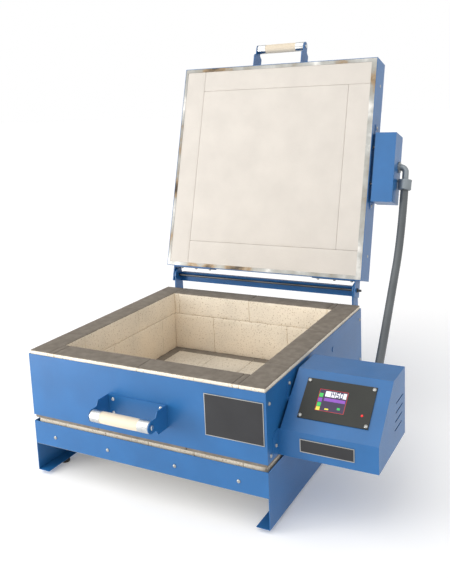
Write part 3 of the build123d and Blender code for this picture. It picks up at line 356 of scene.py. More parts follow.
# Speckled finishes: broad noise between two shades of a colour, with a fine grain
BROAD_SCALE = 14.0
BROAD_DETAIL = 5.0
GRAIN_DETAIL = 6.0
SHADE_STARTS, SHADE_ENDS = 0.3, 0.7

FIXED_COLORS = {
    "zinc_steel": (0.42, 0.42, 0.40),
    "brushed_ferrule": (0.56, 0.57, 0.57),
    "dark_steel": (0.09, 0.09, 0.09),
    "rubber": (0.02, 0.02, 0.022),
    "black_plate": (0.015, 0.015, 0.017),
    "faceplate_black": (0.014, 0.015, 0.011),
    "screen_glass": (0.022, 0.006, 0.05),
    "board_green": (0.03, 0.16, 0.06),
    "black_plastic": (0.03, 0.03, 0.03),
    "transformer_core": (0.12, 0.12, 0.12),
    "element_wire": (0.25, 0.23, 0.22),
    "glazed_bushing": (0.82, 0.8, 0.75),
    "grey_jacket": (0.095, 0.105, 0.11),
    "cast_fitting": (0.25, 0.28, 0.3),
}
FINISHES = {
    "blue_paint": dict(shades=(0.92, 1.08), grain=900.0, depth=0.00025, rough=(0.30, 0.45), coat=0.05),
    "fibre_board": dict(shades=(0.95, 1.03), grain=260.0, depth=0.0007, rough=(0.85, 0.98)),
    "wood": dict(shades=(0.78, 1.12), grain=160.0, depth=0.0004, rough=(0.4, 0.6), stretch=(0.12, 1.6, 1.6)),
    "zinc_steel": dict(shades=(0.85, 1.1), grain=500.0, depth=0.0001, rough=(0.22, 0.4), metallic=1.0),
    "brushed_ferrule": dict(
        shades=(0.9, 1.1), grain=400.0, depth=0.00015, rough=(0.2, 0.35), metallic=1.0, stretch=(8, 1, 1)
    ),
    "dark_steel": dict(shades=(0.7, 1.3), grain=400.0, depth=0.0001, rough=(0.35, 0.5), metallic=0.9),
    "rubber": dict(shades=(0.8, 1.2), grain=300.0, depth=0.0003, rough=(0.7, 0.9)),
    "black_plate": dict(shades=(0.8, 1.3), grain=200.0, depth=0.0001, rough=(0.25, 0.4)),
    "faceplate_black": dict(shades=(0.8, 1.25), grain=700.0, depth=0.0003, rough=(0.5, 0.7)),
    "screen_glass": dict(shades=(0.8, 1.2), grain=100.0, depth=0.00002, rough=(0.3, 0.4)),
    "board_green": dict(shades=(0.8, 1.1), grain=300.0, depth=0.0002, rough=(0.35, 0.5)),
    "black_plastic": dict(shades=(0.8, 1.2), grain=600.0, depth=0.0002, rough=(0.45, 0.6)),
    "transformer_core": dict(shades=(0.7, 1.2), grain=300.0, depth=0.0003, rough=(0.5, 0.7), metallic=0.7),
    "element_wire": dict(shades=(0.7, 1.2), grain=300.0, depth=0.0002, rough=(0.5, 0.7), metallic=0.8),
    "glazed_bushing": dict(shades=(0.93, 1.05), grain=200.0, depth=0.0002, rough=(0.1, 0.25)),
    "grey_jacket": dict(
        shades=(0.8, 1.25), grain=180.0, depth=0.0003, rough=(0.3, 0.5), stretch=(1, 1, 0.15)
    ),
    "cast_fitting": dict(shades=(0.8, 1.2), grain=350.0, depth=0.0004, rough=(0.35, 0.55), metallic=0.6),
}


def speckled(name, color, shades, grain, depth, rough, metallic=0.0, stretch=(1, 1, 1), coat=0.0):
    """Finish whose colour wanders between two shades and whose surface has a fine grain."""
    material, tree, shader = finish(name, metallic, coat)
    broad = noise(tree, BROAD_SCALE, BROAD_DETAIL, stretch)
    fine = noise(tree, grain, GRAIN_DETAIL, stretch)
    stops = [(SHADE_STARTS, scaled(color, shades[0])), (SHADE_ENDS, scaled(color, shades[1]))]
    tree.links.new(ramp(tree, broad, stops), shader.inputs["Base Color"])
    span = calc(tree, "MULTIPLY_ADD", fine, rough[1] - rough[0], rough[0])
    tree.links.new(span, shader.inputs["Roughness"])
    bump(tree, shader, fine, depth)
    return material


# Firebrick: cream body with dark pores
BODY_NOISE = (9.0, 6.0)
PORE_NOISE = (260.0, 8.0)
CREAM_SHADES = ((0.3, 0.86), (0.55, 1.0), (0.75, 1.1))
PORE_SHADES = ((0.34, (0.42, 0.32, 0.22)), (0.43, (1, 1, 1)), (1.0, (1, 1, 1)))
PORE_STRENGTH = 0.6
BRICK_ROUGHNESS = 0.9
BRICK_BUMP = 0.0012
BRICK_BUMP_STRENGTH = 0.6
# Painted shade: the floor bricks take the brick's colour times this, darker for the shade at the chamber's
# bottom
FLOOR_SHADE = 0.70
# Cement coat of the rim and the slab, and painted shade in the coat's dark grey on the walls' lowest outer
# band: their shades, the coat's ragged edge, and where each starts
CEMENT_AND_SHADE_NOISE = (60.0, 8.0)
CEMENT_AND_SHADE_COLORS = ((0.3, (0.16, 0.135, 0.108)), (0.5, (0.19, 0.162, 0.130)), (0.7, (0.225, 0.195, 0.160)))
RAGGED_NOISE = (130.0, 4.0)
RAGGED_WIDTH = 0.004
RAGGED_RISE = 0.5
SLAB_COAT_OUTSIDE = 0.217
SLAB_COAT_ABOVE = 0.1400
RIM_COAT_ABOVE = 0.3055
# Painted shade: the walls' lowest outer band, in the recess under the case, takes the coat's dark grey
FOOT_SHADE_OUTSIDE = 0.285
FOOT_SHADE_BELOW = 0.1495
# Painted shade on the walls, a darker and warmer colour, mottled by the body's noise: its strength at the
# ground, and its change per metre of height and width
LOW_SHADE_COLOR = (0.74, 0.57, 0.38, 1.0)
LOW_SHADE_AT_GROUND = 1.2
LOW_SHADE_PER_HEIGHT = -5.0
LOW_SHADE_PER_WIDTH = -1.6


def brick_finish(name, color, is_slab):
    """Porous cream brick. Cement coats its top in mottled grey. On the walls, painted shade makes the brick
    darker and warmer low and to the left, mottled by the body's noise, and paints their lowest outer band in
    the coat's dark grey.
    """
    material, tree, shader = finish(name)
    broad, fine = noise(tree, *BODY_NOISE), noise(tree, *PORE_NOISE)
    x, y, z = axes(tree)
    cream = ramp(tree, broad, [(place, scaled(color, share)) for place, share in CREAM_SHADES])
    body = mix(tree, PORE_STRENGTH, cream, ramp(tree, fine, PORE_SHADES), "MULTIPLY")
    cement_and_shade = ramp(tree, noise(tree, *CEMENT_AND_SHADE_NOISE), CEMENT_AND_SHADE_COLORS)
    ragged = calc(tree, "MULTIPLY_ADD", noise(tree, *RAGGED_NOISE), RAGGED_WIDTH, -RAGGED_WIDTH / 2)
    edge = calc(tree, "MAXIMUM", calc(tree, "ABSOLUTE", x), calc(tree, "ABSOLUTE", y))
    height = calc(tree, "MULTIPLY_ADD", ragged, RAGGED_RISE, z)
    if is_slab:
        ring = calc(tree, "GREATER_THAN", calc(tree, "ADD", edge, ragged), SLAB_COAT_OUTSIDE)
        covered = calc(tree, "GREATER_THAN", height, SLAB_COAT_ABOVE)
        mask = calc(tree, "MULTIPLY", ring, covered)
    else:
        on_rim = calc(tree, "GREATER_THAN", height, RIM_COAT_ABOVE)
        # Painted shade in the coat's dark grey on the walls' lowest outer band, in the recess under the case
        outer = calc(tree, "GREATER_THAN", edge, FOOT_SHADE_OUTSIDE)
        foot_shade = calc(tree, "MULTIPLY", outer, calc(tree, "LESS_THAN", z, FOOT_SHADE_BELOW))
        mask = calc(tree, "MAXIMUM", on_rim, foot_shade)
        # Painted shade: a darker, warmer colour, strongest low in the chamber and towards the left wall
        heat = calc(tree, "MULTIPLY_ADD", z, LOW_SHADE_PER_HEIGHT, LOW_SHADE_AT_GROUND)
        side = calc(tree, "MULTIPLY_ADD", x, LOW_SHADE_PER_WIDTH, heat)
        share = calc(tree, "MINIMUM", calc(tree, "MAXIMUM", side, 0.0), 1.0)
        body = mix(tree, calc(tree, "MULTIPLY", share, broad), body, LOW_SHADE_COLOR)
    tree.links.new(mix(tree, mask, body, cement_and_shade), shader.inputs["Base Color"])
    shader.inputs["Roughness"].default_value = BRICK_ROUGHNESS
    bump(tree, shader, fine, BRICK_BUMP, BRICK_BUMP_STRENGTH)
    return material


# Lid trim: stains from black and brown to bare bright steel
STAIN_NOISE = (11.0, 6.0)
SCRATCH_NOISE = (300.0, 4.0, (0.1, 1.0, 1.0))
STAIN_SHADES = (
    (0.33, (0.06, 0.045, 0.03)),
    (0.40, (0.24, 0.17, 0.10)),
    (0.45, (0.26, 0.25, 0.22)),
    (0.56, (0.36, 0.36, 0.34)),
    (0.66, (0.70, 0.68, 0.64)),
)
TRIM_METALLIC = 0.6
TRIM_ROUGHNESS = 0.15
TRIM_ROUGHER = 0.5
TRIM_BUMP = 0.0004


def trim_finish():
    """Sheet steel stained grey, brown and black by heat."""
    material, tree, shader = finish("heat_stained_steel", TRIM_METALLIC)
    stain, fine = noise(tree, *STAIN_NOISE), noise(tree, *SCRATCH_NOISE)
    tree.links.new(ramp(tree, stain, STAIN_SHADES), shader.inputs["Base Color"])
    rough = calc(tree, "MULTIPLY_ADD", stain, TRIM_ROUGHER, TRIM_ROUGHNESS)
    tree.links.new(rough, shader.inputs["Roughness"])
    bump(tree, shader, fine, TRIM_BUMP)
    return material


# Lit colours of the screen and the lamp
GLOW_NOISE = 80.0
GLOW_DIM = 0.85
GLOW_STRENGTH = 0.35
LAMP_COLOR = (0.85, 0.02, 0.02)
LAMP_ROUGHNESS = 0.15
SCREEN_ROUGHNESS = 0.2


def plain_glow(name, color, roughness):
    """Lit colour with a slight dimming by noise."""
    material, tree, shader = finish(name)
    stops = [(SHADE_STARTS, scaled(color, GLOW_DIM)), (SHADE_ENDS, color)]
    shade = ramp(tree, noise(tree, GLOW_NOISE), stops)
    tree.links.new(shade, shader.inputs["Base Color"])
    tree.links.new(shade, shader.inputs["Emission Color"])
    shader.inputs["Emission Strength"].default_value = GLOW_STRENGTH
    shader.inputs["Roughness"].default_value = roughness
    return material


MATERIALS = {}


def make_materials(looks):
    """One procedural material for each slot that a node uses, and for the ferrules and the floor bricks."""
    colors = {"blue_paint": looks.blue, "fibre_board": looks.fibre, "wood": looks.wood, **FIXED_COLORS}
    for name, settings in FINISHES.items():
        MATERIALS[name] = speckled(name, tuple(colors[name]), **settings)
    brick = tuple(looks.brick)
    MATERIALS["firebrick"] = brick_finish("firebrick", brick, False)
    # Floor bricks: a darker copy of the brick, painted shade at the chamber's bottom
    MATERIALS["floor_brick"] = brick_finish("floor_brick", scaled(brick, FLOOR_SHADE), True)
    MATERIALS["heat_stained_steel"] = trim_finish()
    MATERIALS["red_lamp"] = plain_glow("red_lamp", LAMP_COLOR, LAMP_ROUGHNESS)


class KilnLooks(bpy.types.PropertyGroup):
    """Colours and sizes that a user would change."""

    blue: bpy.props.FloatVectorProperty(
        name="Paint", description="Powder coat", subtype="COLOR", default=(0.014, 0.122, 0.33)
    )
    brick: bpy.props.FloatVectorProperty(
        name="Brick", description="Firebrick", subtype="COLOR", default=(0.90, 0.81, 0.67)
    )
    fibre: bpy.props.FloatVectorProperty(
        name="Fibre", description="Lid lining", subtype="COLOR", default=(0.645, 0.600, 0.545)
    )
    wood: bpy.props.FloatVectorProperty(
        name="Wood", description="Grips", subtype="COLOR", default=(0.80, 0.69, 0.53)
    )
    conduit_diameter: bpy.props.FloatProperty(
        name="Conduit", description="Outside diameter", unit="LENGTH", default=0.0213
    )
    light: bpy.props.FloatProperty(
        name="Key light", description="Strength of the soft key", default=1.35, min=0.0
    )


# Camera, fitted to the photograph
CAMERA_PLACE = (0.86879, -1.49028, 0.86075)
CAMERA_YAW = 0.500461
CAMERA_PITCH = 0.168070
CAMERA_ROLL = -0.0436996
FOCAL_PIXELS = 720.99
CENTER_PIXELS = (220.07, 221.86)
PHOTO_SIZE = (450, 578)
SENSOR = 36.0
CLIP_START = 0.05
CLIP_END = 100.0
# Strength of the world on the object. A camera, glossy or transmission ray sees white, a strength of 1
WORLD_LIGHT = 0.55
WHITE = (1, 1, 1, 1)
# Suns: the direction in which each shines, and the width of its disc in degrees
KEY_DIRECTION = (0.55, 0.75, -1.1)
KEY_WIDTH = 70.0
FILL_DIRECTION = (-0.7, 0.6, -0.8)
FILL_WIDTH = 90.0
FILL_STRENGTH = 0.45
# Softbox at the front left
SOFTBOX_PLACE = (-1.25, -1.35, 0.42)
SOFTBOX_DIRECTION = (0.95, 1.05, -0.2)
SOFTBOX_POWER = 15.0
SOFTBOX_SIZE = 0.7
# Floor
FLOOR_REACH = 30.0
FLOOR_NOISE = 1.5
FLOOR_SHADES = ((0.0, (0.95, 0.95, 0.95)), (1.0, (0.97, 0.97, 0.97)))
FLOOR_ROUGHNESS = 0.9
FLOOR_GLOW = (1.0, 0.95, 0.90, 1.0)
FLOOR_GLOW_STRENGTH = 0.14


def facing(direction):
    """Rotation that turns a lamp's own downward axis to a direction."""
    return Vector(direction).to_track_quat("-Z", "Y").to_euler()


class KILN_OT_stage(bpy.types.Operator):
    """Floor, lights and camera"""

    bl_idname = "kiln.stage"
    bl_label = "Stage"

    def execute(self, context):
        context.scene.view_settings.view_transform = "Standard"
        self.world(context.scene)
        self.lamps(context.scene)
        self.floor(context.scene)
        self.camera(context.scene)
        return {"FINISHED"}

    def world(self, scene):
        """World that lights the object plainly and looks white."""
        world = bpy.data.worlds.new("studio")
        scene.world = world
        world.use_nodes = True
        tree = world.node_tree
        rays = tree.nodes.new("ShaderNodeLightPath")
        seen = calc(tree, "MAXIMUM", rays.outputs["Is Camera Ray"], rays.outputs["Is Glossy Ray"])
        seen = calc(tree, "MAXIMUM", seen, rays.outputs["Is Transmission Ray"])
        strength = calc(tree, "MULTIPLY_ADD", seen, 1 - WORLD_LIGHT, WORLD_LIGHT)
        background = tree.nodes["Background"]
        background.inputs["Color"].default_value = WHITE
        tree.links.new(strength, background.inputs["Strength"])

    def lamps(self, scene):
        """Soft key and fill suns, and a softbox at the front left."""
        for name, direction, strength, width in (
            ("key", KEY_DIRECTION, scene.kiln_looks.light, KEY_WIDTH),
            ("fill", FILL_DIRECTION, FILL_STRENGTH, FILL_WIDTH),
        ):
            sun = bpy.data.lights.new(name, "SUN")
            sun.energy = strength
            sun.angle = math.radians(width)
            sun_object = bpy.data.objects.new(name, sun)
            sun_object.rotation_euler = facing(direction)
            scene.collection.objects.link(sun_object)
        softbox = bpy.data.lights.new("softbox", "AREA")
        softbox.energy = SOFTBOX_POWER
        softbox.size = SOFTBOX_SIZE
        softbox_object = bpy.data.objects.new("softbox", softbox)
        softbox_object.location = SOFTBOX_PLACE
        softbox_object.rotation_euler = facing(SOFTBOX_DIRECTION)
        scene.collection.objects.link(softbox_object)

    def floor(self, scene):
        """One large pale square at the height of the feet."""
        mesh = bpy.data.meshes.new("floor")
        r = FLOOR_REACH
        mesh.from_pydata([(-r, -r, 0), (r, -r, 0), (r, r, 0), (-r, r, 0)], [], [(0, 1, 2, 3)])
        material, tree, shader = finish("floor_white")
        pale = ramp(tree, noise(tree, FLOOR_NOISE), FLOOR_SHADES)
        tree.links.new(pale, shader.inputs["Base Color"])
        shader.inputs["Roughness"].default_value = FLOOR_ROUGHNESS
        shader.inputs["Emission Color"].default_value = FLOOR_GLOW
        shader.inputs["Emission Strength"].default_value = FLOOR_GLOW_STRENGTH
        mesh.materials.append(material)
        floor = bpy.data.objects.new("floor", mesh)
        scene.collection.objects.link(floor)

    def camera(self, scene):
        """Camera turned by yaw about z, then pitched down, then rolled about its own line of sight."""
        yaw, pitch, roll = CAMERA_YAW, CAMERA_PITCH, CAMERA_ROLL
        level = Vector((-math.sin(yaw), math.cos(yaw), 0.0)) * math.cos(pitch)
        look = level - Vector((0.0, 0.0, math.sin(pitch)))
        right = Vector((math.cos(yaw), math.sin(yaw), 0.0))
        up = right.cross(look)
        across = right * math.cos(roll) + up * math.sin(roll)
        upward = up * math.cos(roll) - right * math.sin(roll)
        camera = bpy.data.cameras.new("camera")
        longest = max(PHOTO_SIZE)
        camera.sensor_width = SENSOR
        camera.lens = FOCAL_PIXELS / longest * SENSOR
        camera.shift_x = (PHOTO_SIZE[0] / 2 - CENTER_PIXELS[0]) / longest
        camera.shift_y = (CENTER_PIXELS[1] - PHOTO_SIZE[1] / 2) / longest
        camera.clip_start, camera.clip_end = CLIP_START, CLIP_END
        camera_object = bpy.data.objects.new("camera", camera)
        turn = Matrix((across, upward, -look)).transposed().to_4x4()
        camera_object.matrix_world = Matrix.Translation(CAMERA_PLACE) @ turn
        scene.collection.objects.link(camera_object)
        scene.camera = camera_object


class KILN_OT_finishes(bpy.types.Operator):
    """Procedural finishes of the frame's own pieces"""

    bl_idname = "kiln.finishes"
    bl_label = "Finishes"

    def execute(self, context):
        make_materials(context.scene.kiln_looks)
        for row in frame["record"]["subparts"]:
            mesh = frame["nodes"][row["node"]].data
            material = MATERIALS[row["material_slot"]]
            if mesh.materials:
                mesh.materials[0] = material
            else:
                mesh.materials.append(material)
        return {"FINISHED"}


# Conduit: its route, the same points as in the part's source, in millimetres
CONDUIT_POINTS = (
    (386.2, 427.6, 599.9),
    (386.2, 390.0, 472.3),
    (382.9, 301.4, 337.8),
    (392.6, 165.0, 215.0),
    (405.0, 76.0, 184.0),
    (415.0, 14.0, 178.1),
    (415.0, -38.0, 178.1),
)
SPLINE_ORDER = 3
SPLINE_STEPS = 48
CONDUIT_STEP = 1.4
CONDUIT_SIDES = 28
RIB_DEPTH = 0.12
RIB_PITCH = 7.0
CONDUIT_SHARP = 60.0


class KILN_OT_conduit(bpy.types.Operator):
    """Grey conduit from the lid's collar to the control box"""

    bl_idname = "kiln.conduit"
    bl_label = "Conduit"

    def execute(self, context):
        diameter = context.scene.kiln_looks.conduit_diameter
        line = self.line(context)
        shape = self.tube(line * MM, diameter * MM / 2)
        jacket = MATERIALS["grey_jacket"]
        tube = build("conduit_jacket", shape, jacket, None, ["conduit"], CONDUIT_SHARP)
        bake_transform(tube)
        return {"FINISHED"}

    def line(self, context):
        """Points in metres along the NURBS spline that has the route's points as its control points."""
        curve = bpy.data.curves.new("conduit_line", "CURVE")
        curve.dimensions = "3D"
        spline = curve.splines.new("NURBS")
        spline.points.add(len(CONDUIT_POINTS) - 1)
        for point, place in zip(spline.points, CONDUIT_POINTS):
            point.co = (*(c / MM for c in place), 1.0)
        spline.order_u = SPLINE_ORDER
        spline.use_endpoint_u = True
        curve.resolution_u = SPLINE_STEPS
        holder = bpy.data.objects.new("conduit_line", curve)
        context.scene.collection.objects.link(holder)
        context.view_layer.update()
        mesh = bpy.data.meshes.new_from_object(holder)
        line = np.zeros(len(mesh.vertices) * 3)
        mesh.vertices.foreach_get("co", line)
        bpy.data.objects.remove(holder)
        return line.reshape(-1, 3)

    def tube(self, line, radius):
        """Circle carried along the line, square to it, whose radius dips by a cosine into fine ribs."""
        run = np.concatenate(([0.0], np.cumsum(np.linalg.norm(np.diff(line, axis=0), axis=1))))
        along = np.linspace(0, run[-1], int(run[-1] / CONDUIT_STEP))
        path = np.stack([np.interp(along, run, line[:, i]) for i in range(3)], 1)
        ahead = np.gradient(path, axis=0)
        ahead /= np.linalg.norm(ahead, axis=1, keepdims=True)
        first = np.cross(ahead, np.array((1.0, 0.0, 0.0)))
        first /= np.linalg.norm(first, axis=1, keepdims=True)
        second = np.cross(ahead, first)
        angle = np.linspace(0, 2 * math.pi, CONDUIT_SIDES + 1)[None, :, None]
        size = radius - RIB_DEPTH + RIB_DEPTH * np.cos(2 * math.pi * along / RIB_PITCH)
        size[0] = size[-1] = 0.0
        ring = np.cos(angle) * first[:, None, :] + np.sin(angle) * second[:, None, :]
        points = path[:, None, :] + size[:, None, None] * ring
        return points.reshape(-1, 3), grid_faces(len(path), CONDUIT_SIDES + 1)


# Bricks, their joints, and the rounding and chips of their edges
BRICK_LENGTH = 228.6
BRICK_WIDTH = 114.3
MORTAR = 0.6
BRICK_SPACING = 9.0
WALL_ROUNDING = 1.6
WALL_CHIPS = 1.6
FLOOR_ROUNDING = 1.4
FLOOR_CHIPS = 1.4
# One joint of the lower and of the upper course. The others lie brick lengths away
LONG_WALL_JOINTS = (-115.0, 0.5)
SIDE_WALL_JOINTS = (171.2, 58.3)
# One joint between the floor's columns, and one joint along its even columns
FLOOR_COLUMN = -98.0
FLOOR_JOINT = 40.0
CORNER_CHAMFER = 8.0


def repeated(first, lowest=-2, highest=2):
    """Joints a number of brick lengths away from the first, from the lowest number to the highest."""
    return [first + i * BRICK_LENGTH for i in range(lowest, highest + 1)]


def brick_course(along, across, height, joints, along_x):
    """Bricks of one course, cut at its joints."""
    inside = sorted(j for j in joints if abs(j) < along - MORTAR)
    edges = [-along] + inside + [along]
    shapes = []
    for a, b in zip(edges[:-1], edges[1:]):
        run, width = (a + MORTAR / 2, b - MORTAR / 2), sorted(across)
        x, y = (run, width) if along_x else (width, run)
        low, high = zip(x, y, height)
        shapes.append(rounded_block(low, high, WALL_ROUNDING, BRICK_SPACING, WALL_CHIPS))
    return shapes


class KILN_OT_bricks(bpy.types.Operator):
    """Chipped firebricks of the walls and the floor"""

    bl_idname = "kiln.bricks"
    bl_label = "Bricks"

    def execute(self, context):
        lower = (BRICK_BOTTOM, COURSE_JOINT - MORTAR / 2)
        upper = (COURSE_JOINT + MORTAR / 2, RIM_TOP)
        for name, sign, along_x, joints in (
            ("front_wall", -1, True, LONG_WALL_JOINTS),
            ("rear_wall", 1, True, LONG_WALL_JOINTS),
            ("left_wall", -1, False, SIDE_WALL_JOINTS),
            ("right_wall", 1, False, SIDE_WALL_JOINTS),
        ):
            across = (sign * INTERIOR_HALF, sign * BRICK_HALF)
            halves = (BRICK_HALF, INTERIOR_HALF) if along_x else (INTERIOR_HALF, BRICK_HALF)
            shapes = brick_course(halves[0], across, lower, repeated(joints[0]), along_x)
            shapes += brick_course(halves[1], across, upper, repeated(joints[1]), along_x)
            firebrick = MATERIALS["firebrick"]
            build(name + "_chipped", join(shapes), firebrick, "chamber", [name + "_bricks"])
        slab = join(self.slab_bricks())
        build("floor_slab_chipped", slab, MATERIALS["floor_brick"], "base", ["floor_slab"])
        return {"FINISHED"}

    def slab_bricks(self):
        """Staggered columns of floor bricks. The outer corners keep the chamfer of the part."""
        columns = [FLOOR_COLUMN + i * BRICK_WIDTH for i in range(-1, 4)]
        edges_x = [-SLAB_HALF] + columns + [SLAB_HALF]
        gap = MORTAR / 2
        shapes = []
        for i, (left, right) in enumerate(zip(edges_x[:-1], edges_x[1:])):
            joints = repeated(FLOOR_JOINT + (BRICK_LENGTH / 2 if i % 2 else 0.0), -3)
            edges_y = [-SLAB_HALF] + [j for j in joints if abs(j) < SLAB_HALF - MORTAR] + [SLAB_HALF]
            for near, far in zip(edges_y[:-1], edges_y[1:]):
                low, high = (left + gap, near + gap, SLAB_BOTTOM), (right - gap, far - gap, SLAB_TOP)
                points, faces = rounded_block(low, high, FLOOR_ROUNDING, BRICK_SPACING, FLOOR_CHIPS)
                past = np.abs(points[:, 0]) + np.abs(points[:, 1]) - (2 * SLAB_HALF - CORNER_CHAMFER)
                points[:, :2] -= np.clip(past, 0, None)[:, None] / 2 * np.sign(points[:, :2])
                shapes.append((points, faces))
        return shapes


# Fibre boards, in the closed lid: heights above its face, outer edges, and edges of the center panel
FIBRE_LOW = 1.0
FIBRE_HIGH = 26.4
FIBRE_HALF = 301.0
FIBRE_FRONT = -303.5
FIBRE_REAR = 300.0
CENTER_LEFT = -231.3
CENTER_RIGHT = 225.7
CENTER_NEAR = -233.3
CENTER_FAR = 223.7
FIBRE_JOINT = 0.3
BORDER_EDGES = dict(radius=1.3, spacing=12.0, chips=0.5)
CENTER_EDGES = dict(radius=1.6, spacing=10.0, chips=0.4)


class KILN_OT_fibre(bpy.types.Operator):
    """Fibre boards of the lid, with soft edges and hairline joints"""

    bl_idname = "kiln.fibre"
    bl_label = "Fibre boards"

    def execute(self, context):
        low, high = LID_FACE + FIBRE_LOW, LID_FACE + FIBRE_HIGH
        boards = (
            ((-FIBRE_HALF, FIBRE_FRONT), (CENTER_LEFT - FIBRE_JOINT, FIBRE_REAR)),
            ((CENTER_LEFT, FIBRE_FRONT), (FIBRE_HALF, CENTER_NEAR - FIBRE_JOINT)),
            ((CENTER_LEFT, CENTER_FAR + FIBRE_JOINT), (FIBRE_HALF, FIBRE_REAR)),
            ((CENTER_RIGHT + FIBRE_JOINT, CENTER_NEAR), (FIBRE_HALF, CENTER_FAR)),
        )
        border = swung(join([rounded_block((*a, low), (*b, high), **BORDER_EDGES) for a, b in boards]))
        corners = (CENTER_LEFT, CENTER_NEAR, low), (CENTER_RIGHT, CENTER_FAR, high)
        center = swung(rounded_block(*corners, **CENTER_EDGES))
        fibre = MATERIALS["fibre_board"]
        build("fibre_border_soft", border, fibre, "lid", ["fibre_border"])
        build("fibre_center_soft", center, fibre, "lid", ["fibre_center_panel"])
        return {"FINISHED"}


# Screws: their places, and how far out their heads sit on what they hold
BASE_SCREW_X = (-242.0, -92.0, 84.0, 236.0)
BASE_SCREW_Z = 100.9
BASE_HINGE_X = 186.2
BASE_HINGE_Z = (102.15, 119.65)
CASE_SCREW_Y = (-288.0, 288.0)
CASE_SCREW_Z = (162.6, 271.7)
UPRIGHT_X = 265.0
UPRIGHT_Z = (264.7, 184.7)
UPRIGHT_THICKNESS = 4
CHAMBER_HINGE_X = 219.8
CHAMBER_HINGE_Z = (165.1, 185.1)
HINGE_THICKNESS = 3
LID_SCREW_Y = (-236.0, 234.0)
LID_SCREW_Z = 349.9
LID_SCREW_HEIGHT = 1.2
EAR_SCREW_X = (267.0, 218.0, 171.0)
EAR_Y = 304.5
EAR_SCREW_HEIGHT = 3.4
JUNCTION_SCREW_Y = (-116.6, 98.0)
JUNCTION_SCREW_Z = 343.9
BOX_SCREW_YZ = ((-190.0, 277.4), (-264.0, 174.1), (-76.0, 240.35))
FACEPLATE_SCREW_X = (-68.0, 68.0)
FACEPLATE_SCREW_S = (-39.5, 39.5)
FACEPLATE_THICKNESS = 2.0


class KILN_OT_screws(bpy.types.Operator):
    """Pan head screws of the base, case, control box and lid"""

    bl_idname = "kiln.screws"
    bl_label = "Screws"

    def execute(self, context):
        zinc = MATERIALS["zinc_steel"]
        for name, shapes, body in (
            ("base", self.base(), "base"),
            ("case", self.case(), "chamber"),
            ("control", self.control(), "chamber"),
        ):
            build(name + "_screw_heads", join(shapes), zinc, body, [name + "_screws"])
        build("lid_screw_heads", swung(join(self.lid())), zinc, "lid", ["lid_screws"])
        return {"FINISHED"}

    def base(self):
        """Screws of the front and rear panels and of the hinge brackets on the base."""
        back = CASE_HALF + HINGE_THICKNESS
        heads = []
        for sign in (-1, 1):
            for x in BASE_SCREW_X:
                heads.append(screw_head((x, sign * CASE_HALF, BASE_SCREW_Z), (0, sign, 0)))
            for z in BASE_HINGE_Z:
                heads.append(screw_head((sign * BASE_HINGE_X, back, z), (0, 1, 0)))
        return heads

    def case(self):
        """Screws of the side panels, the uprights and the hinge brackets on the case."""
        heads = []
        for sign in (-1, 1):
            for z in CASE_SCREW_Z:
                for y in CASE_SCREW_Y:
                    heads.append(screw_head((sign * CASE_HALF, y, z), (sign, 0, 0)))
            for z in UPRIGHT_Z:
                heads.append(screw_head((sign * UPRIGHT_X, CASE_HALF + UPRIGHT_THICKNESS, z), (0, 1, 0)))
            for z in CHAMBER_HINGE_Z:
                heads.append(screw_head((sign * CHAMBER_HINGE_X, CASE_HALF + HINGE_THICKNESS, z), (0, 1, 0)))
        return heads

    def lid(self):
        """Screws of the band, the ears and the junction bracket, in the closed lid."""
        heads = []
        for sign in (-1, 1):
            for y in LID_SCREW_Y:
                heads.append(screw_head((sign * CASE_HALF, y, LID_SCREW_Z), (sign, 0, 0), LID_SCREW_HEIGHT))
            for x in EAR_SCREW_X:
                heads.append(screw_head((sign * x, EAR_Y, HINGE_Z), (0, 1, 0), EAR_SCREW_HEIGHT))
        for y in JUNCTION_SCREW_Y:
            heads.append(screw_head((BOX_SIDE, y, JUNCTION_SCREW_Z), (1, 0, 0)))
        return heads

    def control(self):
        """Screws of the control box's brackets and of its faceplate."""
        heads = [screw_head((BOX_SIDE, y, z), (1, 0, 0)) for y, z in BOX_SCREW_YZ]
        for x in FACEPLATE_SCREW_X:
            for s in FACEPLATE_SCREW_S:
                place = FACE_ORIGIN + x * FACE_ACROSS + s * FACE_UP + FACEPLATE_THICKNESS * FACE_OUT
                heads.append(screw_head(place, FACE_OUT))
        return heads


# Handles: profiles of (distance from the grip's middle, radius), and where the handles stand
HANDLE_MIDDLE = -3.0
GRIP_HALF = 49.0
GRIP_RADIUS = 12.7
GRIP_CROWN = 0.35
GRIP_POINTS = 25
GRIP_SEGMENTS = 48
FERRULE_PROFILE = (
    (48.0, 0.0),
    (48.0, 12.75),
    (48.0, 13.3),
    (50.2, 13.3),
    (70.5, 13.3),
    (72.6, 12.9),
    (73.8, 11.8),
    (74.2, 10.0),
    (74.2, 0.0),
)
FERRULE_SEGMENTS = 40
BOLT_PROFILE = ((76.5, 0.0), (76.5, 5.5), (78.3, 5.4), (79.2, 4.2), (79.5, 0.0))
BOLT_SEGMENTS = 24
PLATE_SCREW_X = 62.0
PLATE_SCREW_Z = 15.7
PLATE_THICKNESS = 2.0
GRIP_DISTANCE = 60.0
FRONT_HANDLE_Z = 211.4
LID_HANDLE_Z = 345.9
LID_FRONT = -305.0
METAL_SHARP = 30.0


def grip_shape(y, z):
    """Wooden grip, slightly crowned: its radius grows by a parabola towards the middle."""
    heights = np.linspace(-GRIP_HALF, GRIP_HALF, GRIP_POINTS)
    barrel = [(h, GRIP_RADIUS + GRIP_CROWN * (1 - (h / GRIP_HALF) ** 2)) for h in heights]
    profile = [(-GRIP_HALF, 0.0)] + barrel + [(GRIP_HALF, 0.0)]
    return lathe((HANDLE_MIDDLE, y, z), (1, 0, 0), profile, GRIP_SEGMENTS)


